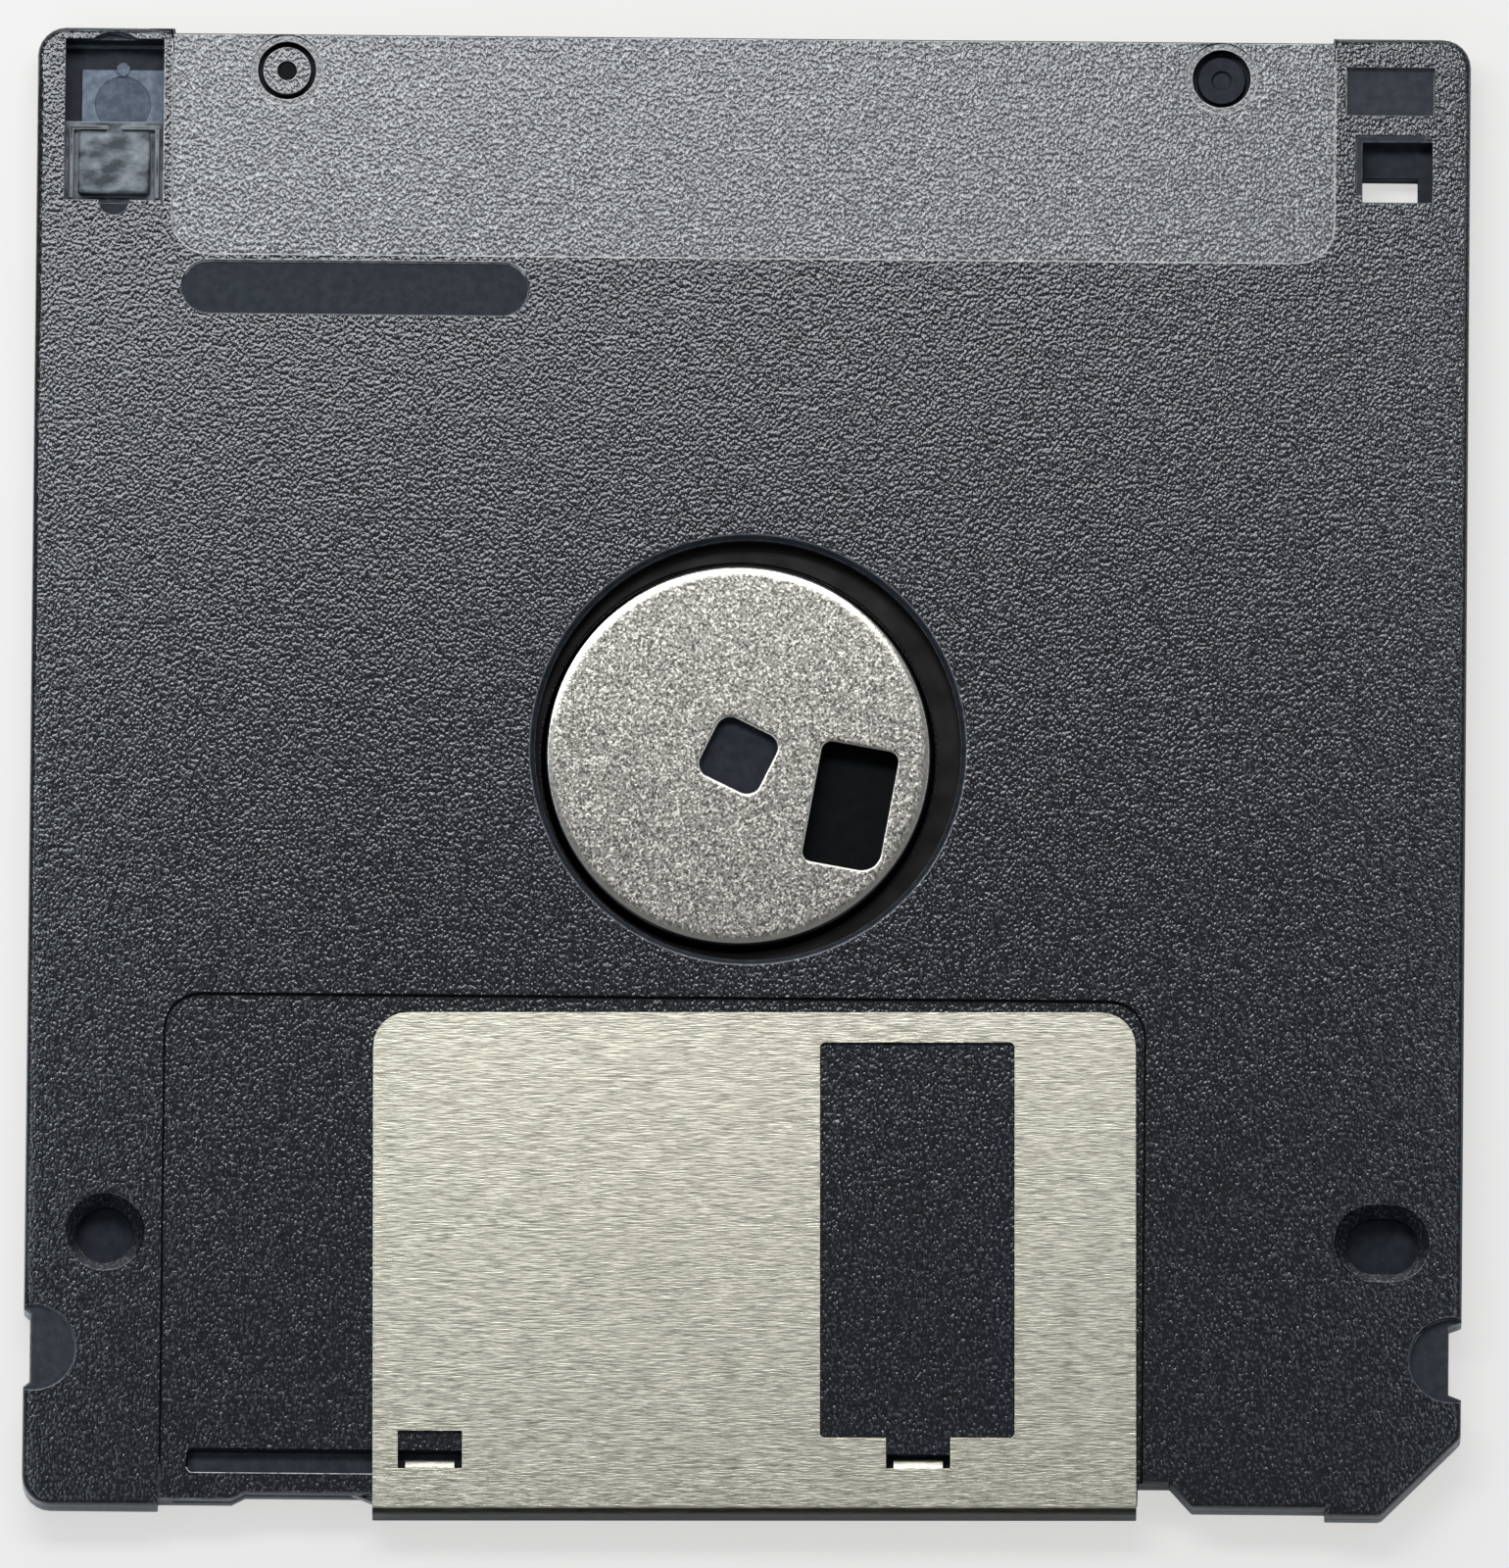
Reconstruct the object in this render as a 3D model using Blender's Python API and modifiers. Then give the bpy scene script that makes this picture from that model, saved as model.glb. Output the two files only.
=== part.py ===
"""A 3.5 inch floppy disk cartridge, lying on its label side with the hub side up.

Units are metres and +Z is up. Seen from above, +X is right and +Y points away from the shutter.
The case is centred on its own X axis, and the whole cartridge, shutter included, on the origin.
"""
import math

import bmesh
import bpy
from mathutils import Matrix

MM = 0.001
DEGREE = math.pi / 180.0

# Case, outside
CASE_WIDTH = 90.0 * MM
CASE_LENGTH = 94.0 * MM
CASE_THICKNESS = 3.3 * MM
CORNER_RADIUS = 1.8 * MM
CORNER_CHAMFER = 5.0 * MM
CHAMFER_END_RADIUS = 0.6 * MM
EDGE_RADIUS = 0.4 * MM

# Case, inside
FACE_THICKNESS = 1.0 * MM
SIDE_WALL = 1.2 * MM
CAVITY_RIB = 0.9 * MM
PARTING_GAP = 0.06 * MM
HUB_FROM_BOTTOM = 48.3 * MM
SEAT_GAP = 0.05 * MM
ROOT_HEIGHT = 0.4 * MM

# Label recess on both faces and over the top edge
LABEL_MARGIN = 8.5 * MM
LABEL_BACK_HEIGHT = 14.4 * MM
LABEL_FRONT_HEIGHT = 55.0 * MM
LABEL_DEPTH = 0.25 * MM
LABEL_CORNER_RADIUS = 2.3 * MM
LABEL_EDGE_SET_IN = 0.3 * MM
LABEL_EDGE_LAP = 0.12 * MM

# Shutter, a U of sheet metal over the bottom edge
SHUTTER_WIDTH = 47.8 * MM
SHUTTER_SHEET = 0.2 * MM
SHUTTER_CLEARANCE = 0.07 * MM
SHUTTER_CORNER_RADIUS = 2.2 * MM
SHUTTER_BEND_RADIUS = 0.5 * MM
SHUTTER_OVERHANG = 0.24 * MM
SHUTTER_SKEW = 0.5 * DEGREE
SHUTTER_TRAVEL = 12.6 * MM
SHUTTER_WINDOW_WIDTH = 12.15 * MM
SHUTTER_WINDOW_HEIGHT = 25.05 * MM
SHUTTER_WINDOW_RADIUS = 0.3 * MM
SHUTTER_WINDOW_FROM_TOP = 1.95 * MM
SHUTTER_WINDOW_OFFSET = 10.9 * MM
LANCE_WIDTH = 4.0 * MM
LANCE_HEIGHT = 2.35 * MM
LANCE_FROM_TOP = 28.95 * MM
LEFT_LANCE_FROM_SIDE = 3.6 * MM
RIGHT_LANCE_FROM_SIDE = 34.15 * MM
TAB_WIDTH = 3.1 * MM
TAB_BEND_RADIUS = 0.6 * MM
TAB_REACH = 0.75 * MM
HOOK_FROM_SIDE = 1.0 * MM
HOOK_WIDTH = 0.25 * MM
HOOK_REACH = 0.7 * MM

# Shutter recess, guide groove and bottom edge of the case
RECESS_LEFT_MARGIN = 8.6 * MM
RECESS_STOP_GAP = 0.6 * MM
RECESS_SIDE_PLAY = 0.45 * MM
RECESS_TOP_PLAY = 0.9 * MM
RECESS_HEIGHT = 32.5 * MM
RECESS_DEPTH = 0.35 * MM
RECESS_CORNER_RADIUS = 2.3 * MM
GROOVE_NEAR = 2.15 * MM
GROOVE_FAR = 3.6 * MM
GROOVE_WALL = 0.9 * MM
GROOVE_DEPTH = 1.15 * MM
GROOVE_CORNER_RADIUS = 0.35 * MM
GROOVE_LEFT_MARGIN = 1.7 * MM
GROOVE_RIGHT_MARGIN = 3.0 * MM
LEDGE_STEP = 0.43 * MM
RAIL_STEP = 0.87 * MM
LEDGE_LENGTH = 4.5 * MM
LEDGE_RAMP = 0.86 * MM
RAIL_END_LAP = 0.25 * MM
LEVER_NOTCH_DEPTH = 1.95 * MM
LEVER_NOTCH_WIDTH = 1.75 * MM
LEVER_NOTCH_RAMP = 1.4 * MM
HEAD_WINDOW_WIDTH = 9.0 * MM
HEAD_WINDOW_MARGIN = 0.7 * MM
HEAD_WINDOW_RADIUS = 0.8 * MM

# Holes and pockets in the faces of the case
HUB_HOLE_RADIUS = 13.35 * MM
HUB_HOLE_CHAMFER = 0.35 * MM
LOCATING_SPACING = 80.0 * MM
LOCATING_BELOW_HUB = 31.0 * MM
LOCATING_RADIUS = 1.8 * MM
LOCATING_MOUTH_WIDTH = 0.65 * MM
LOCATING_MOUTH_DEPTH = 1.3 * MM
LOCATING_SLOT = 1.0 * MM
LOCATING_FLOOR = 0.8 * MM
INHIBIT_ABOVE_HUB = 37.15 * MM
CAPACITY_HOLE_FROM_SIDE = 4.57 * MM
CAPACITY_HOLE_WIDTH = 4.38 * MM
CAPACITY_HOLE_HEIGHT = 3.85 * MM
CAPACITY_FRONT_WIDTH = 3.48 * MM
CAPACITY_FRONT_HEIGHT = 1.8 * MM
CAPACITY_RIM = 0.42 * MM
CAPACITY_RIM_DEPTH = 0.15 * MM
CODE_RECESS_FROM_SIDE = 5.05 * MM
CODE_RECESS_FROM_TOP = 3.4 * MM
CODE_RECESS_WIDTH = 5.56 * MM
CODE_RECESS_HEIGHT = 3.0 * MM
CODE_RECESS_DEPTH = 0.45 * MM
PILL_WIDTH = 21.85 * MM
PILL_HEIGHT = 3.4 * MM
PILL_DEPTH = 0.35 * MM
PILL_GAP = 0.4 * MM
PILL_RADIUS = 1.69 * MM
PILL_FROM_SIDE = 20.07 * MM
PIN_SPACING = 58.7 * MM
PIN_FROM_TOP = 2.6 * MM
PIN_RADIUS = 1.5 * MM
PIN_CLEARANCE = 0.33 * MM
PIN_RING_WIDTH = 0.42 * MM
PIN_RING_DEPTH = 0.2 * MM
PIN_LEFT_SINK = 0.5 * MM
PIN_RIGHT_SINK = 1.1 * MM
PIN_DIMPLE_RADIUS = 0.6 * MM
PIN_DIMPLE_DEPTH = 0.25 * MM
NOTCH_BELOW_HUB = 38.4 * MM
NOTCH_HALF_HEIGHT = 2.45 * MM
NOTCH_LEFT_DEPTH = 0.4 * MM
NOTCH_RIGHT_DEPTH = 0.8 * MM
NOTCH_SLOPE = 0.3 * MM
THUMB_RADIUS = 2.7 * MM
THUMB_INSET = 0.6 * MM
THUMB_LEFT_DEPTH = 0.25 * MM
THUMB_RIGHT_DEPTH = 0.5 * MM
ARROW_LENGTH = 4.2 * MM
ARROW_WIDTH = 4.6 * MM
ARROW_DEPTH = 0.15 * MM
ARROW_ABOVE_LOCATING = 8.4 * MM

# Write-protect window and its slider
PROTECT_FROM_SIDE = 4.85 * MM
PROTECT_WINDOW_WIDTH = 6.17 * MM
PROTECT_WINDOW_BELOW = 2.46 * MM
PROTECT_WINDOW_FROM_TOP = 0.75 * MM
PROTECT_HOLE_SIZE = 4.0 * MM
PROTECT_TRAVEL = 4.2 * MM
PROTECT_PLAY = 0.3 * MM
PROTECT_POCKET_FLOOR = 0.8 * MM
PROTECT_ROOF_THICKNESS = 1.35 * MM
PROTECT_END_LIP = 0.2 * MM
PROTECT_THUMB_RADIUS = 2.2 * MM
PROTECT_THUMB_RISE = 0.45 * MM
PROTECT_THUMB_DEPTH = 0.6 * MM
PROTECT_NICK_RADIUS = 0.95 * MM
PROTECT_NICK_DEPTH = 1.1 * MM
TAB_PLATE_LAP = 0.35 * MM
TAB_PLATE_THICKNESS = 0.4 * MM
TAB_PLATE_RISE = 0.6 * MM
TAB_PLATE_HEIGHT = 5.6 * MM
TAB_PLATE_RADIUS = 0.12 * MM
TAB_BLOCK_WIDTH = 4.55 * MM
TAB_BLOCK_HEIGHT = 4.0 * MM
TAB_BLOCK_SINK = 0.45 * MM
TAB_BLOCK_RADIUS = 0.3 * MM
TAB_BLOCK_EDGE = 0.24 * MM
TAB_RIDGE_WIDTH = 0.26 * MM
TAB_RIDGE_RISE = 0.5 * MM
TAB_RIDGE_GAP = 0.9 * MM
PLATFORM_HEIGHT = 3.4 * MM
PLATFORM_RISE = 0.4 * MM
PLATFORM_FROM_TOP = 1.6 * MM
PLATFORM_SIDE_GAP = 1.0 * MM
PLATFORM_MARK_RADIUS = 1.75 * MM
PLATFORM_MARK_DEPTH = 0.1 * MM
PLATFORM_NUB_RADIUS = 0.45 * MM
PLATFORM_NUB_RISE = 0.1 * MM

# Disk and hub, lying a little off the middle of the access hole
DISK_PLAY = 0.9 * MM
DISK_THICKNESS = 0.08 * MM
DISK_HOLE_PLAY = 0.3 * MM
HUB_OFFSET_X = -0.6 * MM
HUB_OFFSET_Y = -0.3 * MM
HUB_RADIUS = 12.2 * MM
HUB_SHEET = 0.3 * MM
HUB_SINK = 0.4 * MM
HUB_EDGE_RADIUS = 0.5 * MM
HUB_FLANGE_WIDTH = 3.0 * MM
HUB_LIFT = 0.08 * MM
HUB_SQUARE_SIZE = 4.0 * MM
HUB_SQUARE_RADIUS = 0.85 * MM
HUB_SQUARE_TURN = -26.0 * DEGREE
HUB_SLOT_WIDTH = 4.8 * MM
HUB_SLOT_HEIGHT = 7.7 * MM
HUB_SLOT_RADIUS = 0.6 * MM
HUB_SLOT_LOWER_RADIUS = 1.2 * MM
HUB_SLOT_TURN = -10.0 * DEGREE
HUB_SLOT_OFFSET_X = 7.05 * MM
HUB_SLOT_OFFSET_Y = -3.2 * MM
HUB_HOLE_FLARE = 0.12 * MM
ADHESIVE_THICKNESS = 0.06 * MM
ADHESIVE_WIDTH = 2.2 * MM
ADHESIVE_GAP = 0.03 * MM
BOSS_RADIUS = 3.4 * MM
BOSS_GAP = 0.5 * MM

# Liners and the leaf under the front one
LINER_THICKNESS = 0.2 * MM
LINER_INNER_RADIUS = 17.5 * MM
LINER_OUTER_PLAY = 1.3 * MM
LINER_WINDOW_MARGIN = 0.6 * MM
LIFTER_WIDTH = 7.0 * MM
LIFTER_LENGTH = 11.0 * MM
LIFTER_THICKNESS = 0.1 * MM
LIFTER_CORNER_RADIUS = 0.7 * MM
LIFTER_POCKET_DEPTH = 0.15 * MM
LIFTER_CLEARANCE = 0.3 * MM
LIFTER_OFFSET_X = 30.0 * MM
LIFTER_BELOW_HUB = 20.0 * MM

# Closing spring and the pockets in the corners
WIRE_RADIUS = 0.15 * MM
COIL_RADIUS = 1.9 * MM
COIL_PITCH = 0.34 * MM
COIL_TURNS = 2
WIRE_FACETS = 2
ANCHOR_GAP = 0.45 * MM
HOOK_GAP = 0.21 * MM
LEG_LEVEL_SHARE = 0.25
COIL_FROM_SIDE = 8.0 * MM
COIL_FROM_BOTTOM = 8.2 * MM
POCKET_WALL = 2.0 * MM
POCKET_HEIGHT = 9.8 * MM
POCKET_REACH = 28.0 * MM
POCKET_CORNER_CUT = 3.6 * MM
POCKET_CORNER_RADIUS = 1.2 * MM
PLAIN_POCKET_SHORTER = 7.2 * MM
SPRING_SLOT_HEIGHT = 0.5 * MM
SPRING_SLOT_LENGTH = 20.0 * MM
CORE_WIDTH = 3.8 * MM
CORE_HEIGHT = 6.2 * MM
CORE_WALL = 1.1 * MM
CORE_CORNER_RADIUS = 0.55 * MM

# Facets
CIRCLE_STEPS = 96
SMALL_CIRCLE_STEPS = 32
ARC_STEPS = 6
BEVEL_STEPS = 3
OVERCUT = 1.0 * MM
WELD_DISTANCE = 0.001 * MM
FLAT_ANGLE = 0.1 * DEGREE
SHADE_ANGLE = 35.0 * DEGREE
HUB_SHADE_ANGLE = 50.0 * DEGREE
WALL_STEEPNESS = 0.5
ROUND_PROFILE = 0.5

# Places worked out from the sizes above, in the case's own frame
half_width = CASE_WIDTH / 2
case_top = CASE_LENGTH / 2
case_bottom = -case_top
hub_hole_y = case_bottom + HUB_FROM_BOTTOM
parting_z = CASE_THICKNESS / 2
back_floor_z = CASE_THICKNESS - FACE_THICKNESS
front_floor_z = FACE_THICKNESS
label_side = half_width - LABEL_MARGIN
front_bar = GROOVE_FAR + GROOVE_WALL
cavity_radius = min(half_width - SIDE_WALL, HUB_FROM_BOTTOM - front_bar)

recess_left = -half_width + RECESS_LEFT_MARGIN
shutter_left = recess_left + RECESS_STOP_GAP + SHUTTER_TRAVEL
shutter_x = shutter_left + SHUTTER_WIDTH / 2
recess_right = shutter_left + SHUTTER_WIDTH + RECESS_SIDE_PLAY
recess_top = case_bottom + RECESS_HEIGHT
shutter_top = recess_top - RECESS_TOP_PLAY
shutter_fold = case_bottom - SHUTTER_OVERHANG
shutter_height = shutter_top - shutter_fold
shutter_y = (shutter_top + shutter_fold) / 2
back_leaf_z = CASE_THICKNESS - RECESS_DEPTH + SHUTTER_CLEARANCE
front_leaf_z = RECESS_DEPTH - SHUTTER_CLEARANCE
shutter_low = (shutter_y - shutter_height / 2 * math.cos(SHUTTER_SKEW)
               - SHUTTER_WIDTH / 2 * math.sin(SHUTTER_SKEW))
model_shift_y = -(case_top + shutter_low) / 2

groove_left = recess_left + GROOVE_LEFT_MARGIN
groove_right = recess_right - GROOVE_RIGHT_MARGIN
groove_low = case_bottom + GROOVE_NEAR
groove_high = case_bottom + GROOVE_FAR
window_top = shutter_top - SHUTTER_WINDOW_FROM_TOP
window_bottom = window_top - SHUTTER_WINDOW_HEIGHT

locating_x = LOCATING_SPACING / 2
locating_y = hub_hole_y - LOCATING_BELOW_HUB
inhibit_y = hub_hole_y + INHIBIT_ABOVE_HUB
capacity_x = half_width - CAPACITY_HOLE_FROM_SIDE
protect_x = -half_width + PROTECT_FROM_SIDE
protect_low = inhibit_y - PROTECT_WINDOW_BELOW
protect_high = case_top - PROTECT_WINDOW_FROM_TOP
pin_x = PIN_SPACING / 2
pin_y = case_top - PIN_FROM_TOP
notch_y = hub_hole_y - NOTCH_BELOW_HUB

hub_x = HUB_OFFSET_X
hub_y = hub_hole_y + HUB_OFFSET_Y
hub_face_z = CASE_THICKNESS - HUB_SINK
hub_flange_low = front_floor_z + HUB_LIFT
hub_flange_top = hub_flange_low + HUB_SHEET
adhesive_low = hub_flange_top + ADHESIVE_GAP
disk_low = adhesive_low + ADHESIVE_THICKNESS + ADHESIVE_GAP
disk_radius = cavity_radius - DISK_PLAY
disk_hole_radius = HUB_RADIUS + DISK_HOLE_PLAY

pocket_side = half_width - POCKET_WALL
pocket_low = case_bottom + front_bar - CAVITY_RIB / 2
pocket_high = pocket_low + POCKET_HEIGHT


# Scene and helper functions
for old_object in list(bpy.data.objects):
    bpy.data.objects.remove(old_object)

parts = bpy.data.collections.new("floppy_disk")
cutters = bpy.data.collections.new("cutters")

case_frame = bpy.data.objects.new("case_frame", None)
case_frame.location = (0.0, model_shift_y, 0.0)
parts.objects.link(case_frame)


def material(name, colour, roughness, metallic=0.0):
    """A plain surface finish of one colour."""
    finish = bpy.data.materials.new(name)
    finish.use_nodes = True
    shader = finish.node_tree.nodes["Principled BSDF"]
    shader.inputs["Base Color"].default_value = (*colour, 1.0)
    shader.inputs["Roughness"].default_value = roughness
    shader.inputs["Metallic"].default_value = metallic
    return finish


def arc(centre_x, centre_y, radius, start, end, steps):
    """Points of an arc from one angle to another, both ends included."""
    angles = [start + (end - start) * step / steps for step in range(steps + 1)]
    return [(centre_x + radius * math.cos(a), centre_y + radius * math.sin(a)) for a in angles]


def rounded(corners):
    """Closed outline through (x, y, radius) corners, each one rounded by an arc that meets both sides."""
    outline = []
    for index, (x, y, radius) in enumerate(corners):
        before = corners[index - 1]
        after = corners[(index + 1) % len(corners)]
        if radius <= 0.0:
            outline.append((x, y))
            continue
        angle_in = math.atan2(y - before[1], x - before[0])
        angle_out = math.atan2(after[1] - y, after[0] - x)
        turn = (angle_out - angle_in + math.pi) % (2 * math.pi) - math.pi
        side = math.copysign(1.0, turn)
        reach = radius * math.tan(abs(turn) / 2)
        start_x = x - reach * math.cos(angle_in)
        start_y = y - reach * math.sin(angle_in)
        centre_x = start_x - side * radius * math.sin(angle_in)
        centre_y = start_y + side * radius * math.cos(angle_in)
        start = angle_in - side * math.pi / 2
        outline.extend(arc(centre_x, centre_y, radius, start, start + turn, ARC_STEPS))
    return outline


def box_corners(left, right, low, high, radius=0.0):
    """The four corners of an upright rectangle, counterclockwise, with one corner radius."""
    return [(left, low, radius), (right, low, radius), (right, high, radius), (left, high, radius)]


def circle(x, y, radius, steps=CIRCLE_STEPS):
    """Closed round outline."""
    return arc(x, y, radius, 0.0, 2 * math.pi * (steps - 1) / steps, steps - 1)


def place(name, mesh, collection):
    """A new object in the case's frame; cutters are hidden guides drawn as wires."""
    piece = bpy.data.objects.new(name, mesh)
    collection.objects.link(piece)
    piece.parent = case_frame
    if collection is cutters:
        piece.hide_render = True
        piece.display_type = "WIRE"
    return piece


def slab_mesh(name, outlines, low, high):
    """A flat plate: closed outlines filled and thickened from one height to another, then welded."""
    curve = bpy.data.curves.new(name, "CURVE")
    curve.dimensions = "2D"
    curve.fill_mode = "BOTH"
    curve.extrude = (high - low) / 2
    for outline in outlines:
        spline = curve.splines.new("POLY")
        spline.points.add(len(outline) - 1)
        for point, (x, y) in zip(spline.points, outline):
            point.co = (x, y, 0.0, 1.0)
        spline.use_cyclic_u = True
    guide = bpy.data.objects.new(name, curve)
    bpy.context.scene.collection.objects.link(guide)
    graph = bpy.context.evaluated_depsgraph_get()
    mesh = bpy.data.meshes.new_from_object(guide.evaluated_get(graph))
    bpy.data.objects.remove(guide)
    mesh.transform(Matrix.Translation((0.0, 0.0, (low + high) / 2)))
    work = bmesh.new()
    work.from_mesh(mesh)
    bmesh.ops.remove_doubles(work, verts=work.verts, dist=WELD_DISTANCE)
    bmesh.ops.dissolve_limit(work, angle_limit=FLAT_ANGLE, verts=work.verts, edges=work.edges)
    bmesh.ops.recalc_face_normals(work, faces=work.faces)
    work.to_mesh(mesh)
    work.free()
    return mesh


def slab(name, outlines, low, high, collection=cutters):
    """A flat plate as an object."""
    return place(name, slab_mesh(name, outlines, low, high), collection)


def folded(name, profile, left, right, collection=cutters):
    """A (y, z) outline drawn out along X, as a strip of folded sheet is."""
    mesh = slab_mesh(name, [profile], left, right)
    mesh.transform(Matrix(((0, 0, 1, 0), (1, 0, 0, 0), (0, 1, 0, 0), (0, 0, 0, 1))))
    return place(name, mesh, collection)


def drill(name, x, y, radius, low, high, steps=SMALL_CIRCLE_STEPS, top_radius=None):
    """A round cutter or pin, which may be a cone."""
    mesh = bpy.data.meshes.new(name)
    work = bmesh.new()
    bmesh.ops.create_cone(
        work, cap_ends=True, segments=steps, radius1=radius,
        radius2=radius if top_radius is None else top_radius, depth=high - low)
    work.to_mesh(mesh)
    work.free()
    mesh.transform(Matrix.Translation((x, y, (low + high) / 2)))
    return place(name, mesh, cutters)


def turned(name, profile, closed, collection, steps=CIRCLE_STEPS):
    """A (radius, height) profile turned once round the Z axis."""
    mesh = bpy.data.meshes.new(name)
    work = bmesh.new()
    points = [work.verts.new((radius, 0.0, z)) for radius, z in profile]
    for first, second in zip(points, points[1:]):
        work.edges.new((first, second))
    if closed:
        work.edges.new((points[-1], points[0]))
    work.to_mesh(mesh)
    work.free()
    piece = place(name, mesh, collection)
    screw = piece.modifiers.new("turn", "SCREW")
    screw.steps = steps
    screw.render_steps = steps
    screw.use_merge_vertices = True
    screw.merge_threshold = WELD_DISTANCE
    return piece


def combine(target, operation, *tools):
    """Cut tools out of a piece, join them to it, or keep only what they share, all in one step."""
    group = bpy.data.collections.new(target.name + "_" + tools[0].name)
    cutters.children.link(group)
    for tool in tools:
        group.objects.link(tool)
    boolean = target.modifiers.new(group.name, "BOOLEAN")
    boolean.operation = operation
    boolean.solver = "EXACT"
    boolean.operand_type = "COLLECTION"
    boolean.collection = group


def tools_of(piece):
    """Every cutter or added block that a piece is combined with."""
    return [tool for modifier in piece.modifiers for tool in modifier.collection.objects]


def soften(piece, height, radius):
    """Round the edges where the walls of a plate meet its face at the given height."""
    work = bmesh.new()
    work.from_mesh(piece.data)
    rim = []
    for edge in work.edges:
        level = all(abs(vert.co.z - height) < WELD_DISTANCE for vert in edge.verts)
        wall = any(abs(face.normal.z) < WALL_STEEPNESS for face in edge.link_faces)
        if level and wall:
            rim.append(edge)
    bmesh.ops.bevel(
        work, geom=rim, offset=radius, segments=BEVEL_STEPS, profile=ROUND_PROFILE,
        affect="EDGES", clamp_overlap=False)
    work.to_mesh(piece.data)
    work.free()


def shade(piece, angle=SHADE_ANGLE):
    """Smooth shading that keeps the creases sharp."""
    piece.data.shade_smooth()
    piece.data.set_sharp_from_angle(angle=angle)


# Outline that both halves of the case share
def case_outline():
    """Counterclockwise from the lower left corner, with the shutter's rail and the lever notch below."""
    ledge = case_bottom + LEDGE_STEP
    rail = case_bottom + RAIL_STEP
    lever = case_bottom + LEVER_NOTCH_DEPTH
    ledge_end = recess_left + LEDGE_LENGTH
    rail_end = recess_right - RAIL_END_LAP
    edge_side = label_side - LABEL_EDGE_LAP
    lever_end = recess_right + LEVER_NOTCH_WIDTH
    low_notch = notch_y - NOTCH_HALF_HEIGHT
    high_notch = notch_y + NOTCH_HALF_HEIGHT
    return rounded([
        (-half_width, case_bottom, CORNER_RADIUS),
        (-label_side, case_bottom, 0.0),
        (-label_side, ledge, 0.0),
        (ledge_end, ledge, 0.0),
        (ledge_end + LEDGE_RAMP, rail, 0.0),
        (rail_end, rail, 0.0),
        (rail_end, lever, 0.0),
        (lever_end, lever, 0.0),
        (lever_end + LEVER_NOTCH_RAMP, ledge, 0.0),
        (label_side, ledge, 0.0),
        (label_side, case_bottom, 0.0),
        (half_width - CORNER_CHAMFER, case_bottom, CHAMFER_END_RADIUS),
        (half_width, case_bottom + CORNER_CHAMFER, CHAMFER_END_RADIUS),
        (half_width, low_notch, 0.0),
        (half_width - NOTCH_RIGHT_DEPTH, low_notch + NOTCH_SLOPE, 0.0),
        (half_width - NOTCH_RIGHT_DEPTH, high_notch - NOTCH_SLOPE, 0.0),
        (half_width, high_notch, 0.0),
        (half_width, case_top, CORNER_RADIUS),
        (edge_side, case_top, 0.0),
        (edge_side, case_top - LABEL_EDGE_SET_IN, 0.0),
        (-edge_side, case_top - LABEL_EDGE_SET_IN, 0.0),
        (-edge_side, case_top, 0.0),
        (-half_width, case_top, CORNER_RADIUS),
        (-half_width, high_notch, 0.0),
        (-half_width + NOTCH_LEFT_DEPTH, high_notch - NOTCH_SLOPE, 0.0),
        (-half_width + NOTCH_LEFT_DEPTH, low_notch + NOTCH_SLOPE, 0.0),
        (-half_width, low_notch, 0.0),
    ])


def face_recess_outlines(label_height):
    """Outlines of the label recess and the shutter recess, open past the edges of the case."""
    label_low = case_top - label_height
    label = rounded([
        (-label_side, label_low, LABEL_CORNER_RADIUS),
        (label_side, label_low, LABEL_CORNER_RADIUS),
        (label_side, case_top + OVERCUT, 0.0),
        (-label_side, case_top + OVERCUT, 0.0),
    ])
    shutter = rounded([
        (recess_left, case_bottom - OVERCUT, 0.0),
        (recess_right, case_bottom - OVERCUT, 0.0),
        (recess_right, recess_top, RECESS_CORNER_RADIUS),
        (recess_left, recess_top, RECESS_CORNER_RADIUS),
    ])
    return label, shutter


def corner_pockets(shell_name, low, high):
    """Hollows outside the disk's round rib: the spring's corner, the other lower corner, and two cores."""
    rib = drill(shell_name + "_rib", 0.0, hub_hole_y, cavity_radius + CAVITY_RIB,
                low - OVERCUT, high + OVERCUT, CIRCLE_STEPS)
    inner = pocket_side - POCKET_REACH
    spring_pocket = slab(shell_name + "_spring_pocket", [rounded([
        (-pocket_side, pocket_low, POCKET_CORNER_RADIUS),
        (-inner, pocket_low, 0.0),
        (-inner, pocket_high, 0.0),
        (-pocket_side, pocket_high, POCKET_CORNER_RADIUS)])], low, high)
    plain_pocket = slab(shell_name + "_plain_pocket", [rounded([
        (inner + PLAIN_POCKET_SHORTER, pocket_low, 0.0),
        (pocket_side - POCKET_CORNER_CUT, pocket_low, 0.0),
        (pocket_side, pocket_low + POCKET_CORNER_CUT, 0.0),
        (pocket_side, pocket_high, POCKET_CORNER_RADIUS),
        (inner + PLAIN_POCKET_SHORTER, pocket_high, 0.0)])], low, high)
    combine(spring_pocket, "DIFFERENCE", rib)
    combine(plain_pocket, "DIFFERENCE", rib)
    core_side = label_side - CORE_WALL
    core_top = pin_y - PIN_RADIUS - PIN_RING_WIDTH - CORE_WALL
    cores = []
    for side, left in (("left", -core_side), ("right", core_side - CORE_WIDTH)):
        outline = rounded(box_corners(
            left, left + CORE_WIDTH, core_top - CORE_HEIGHT, core_top, CORE_CORNER_RADIUS))
        cores.append(slab(shell_name + "_core_" + side, [outline], low, high))
    return [spring_pocket, plain_pocket, *cores]


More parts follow.
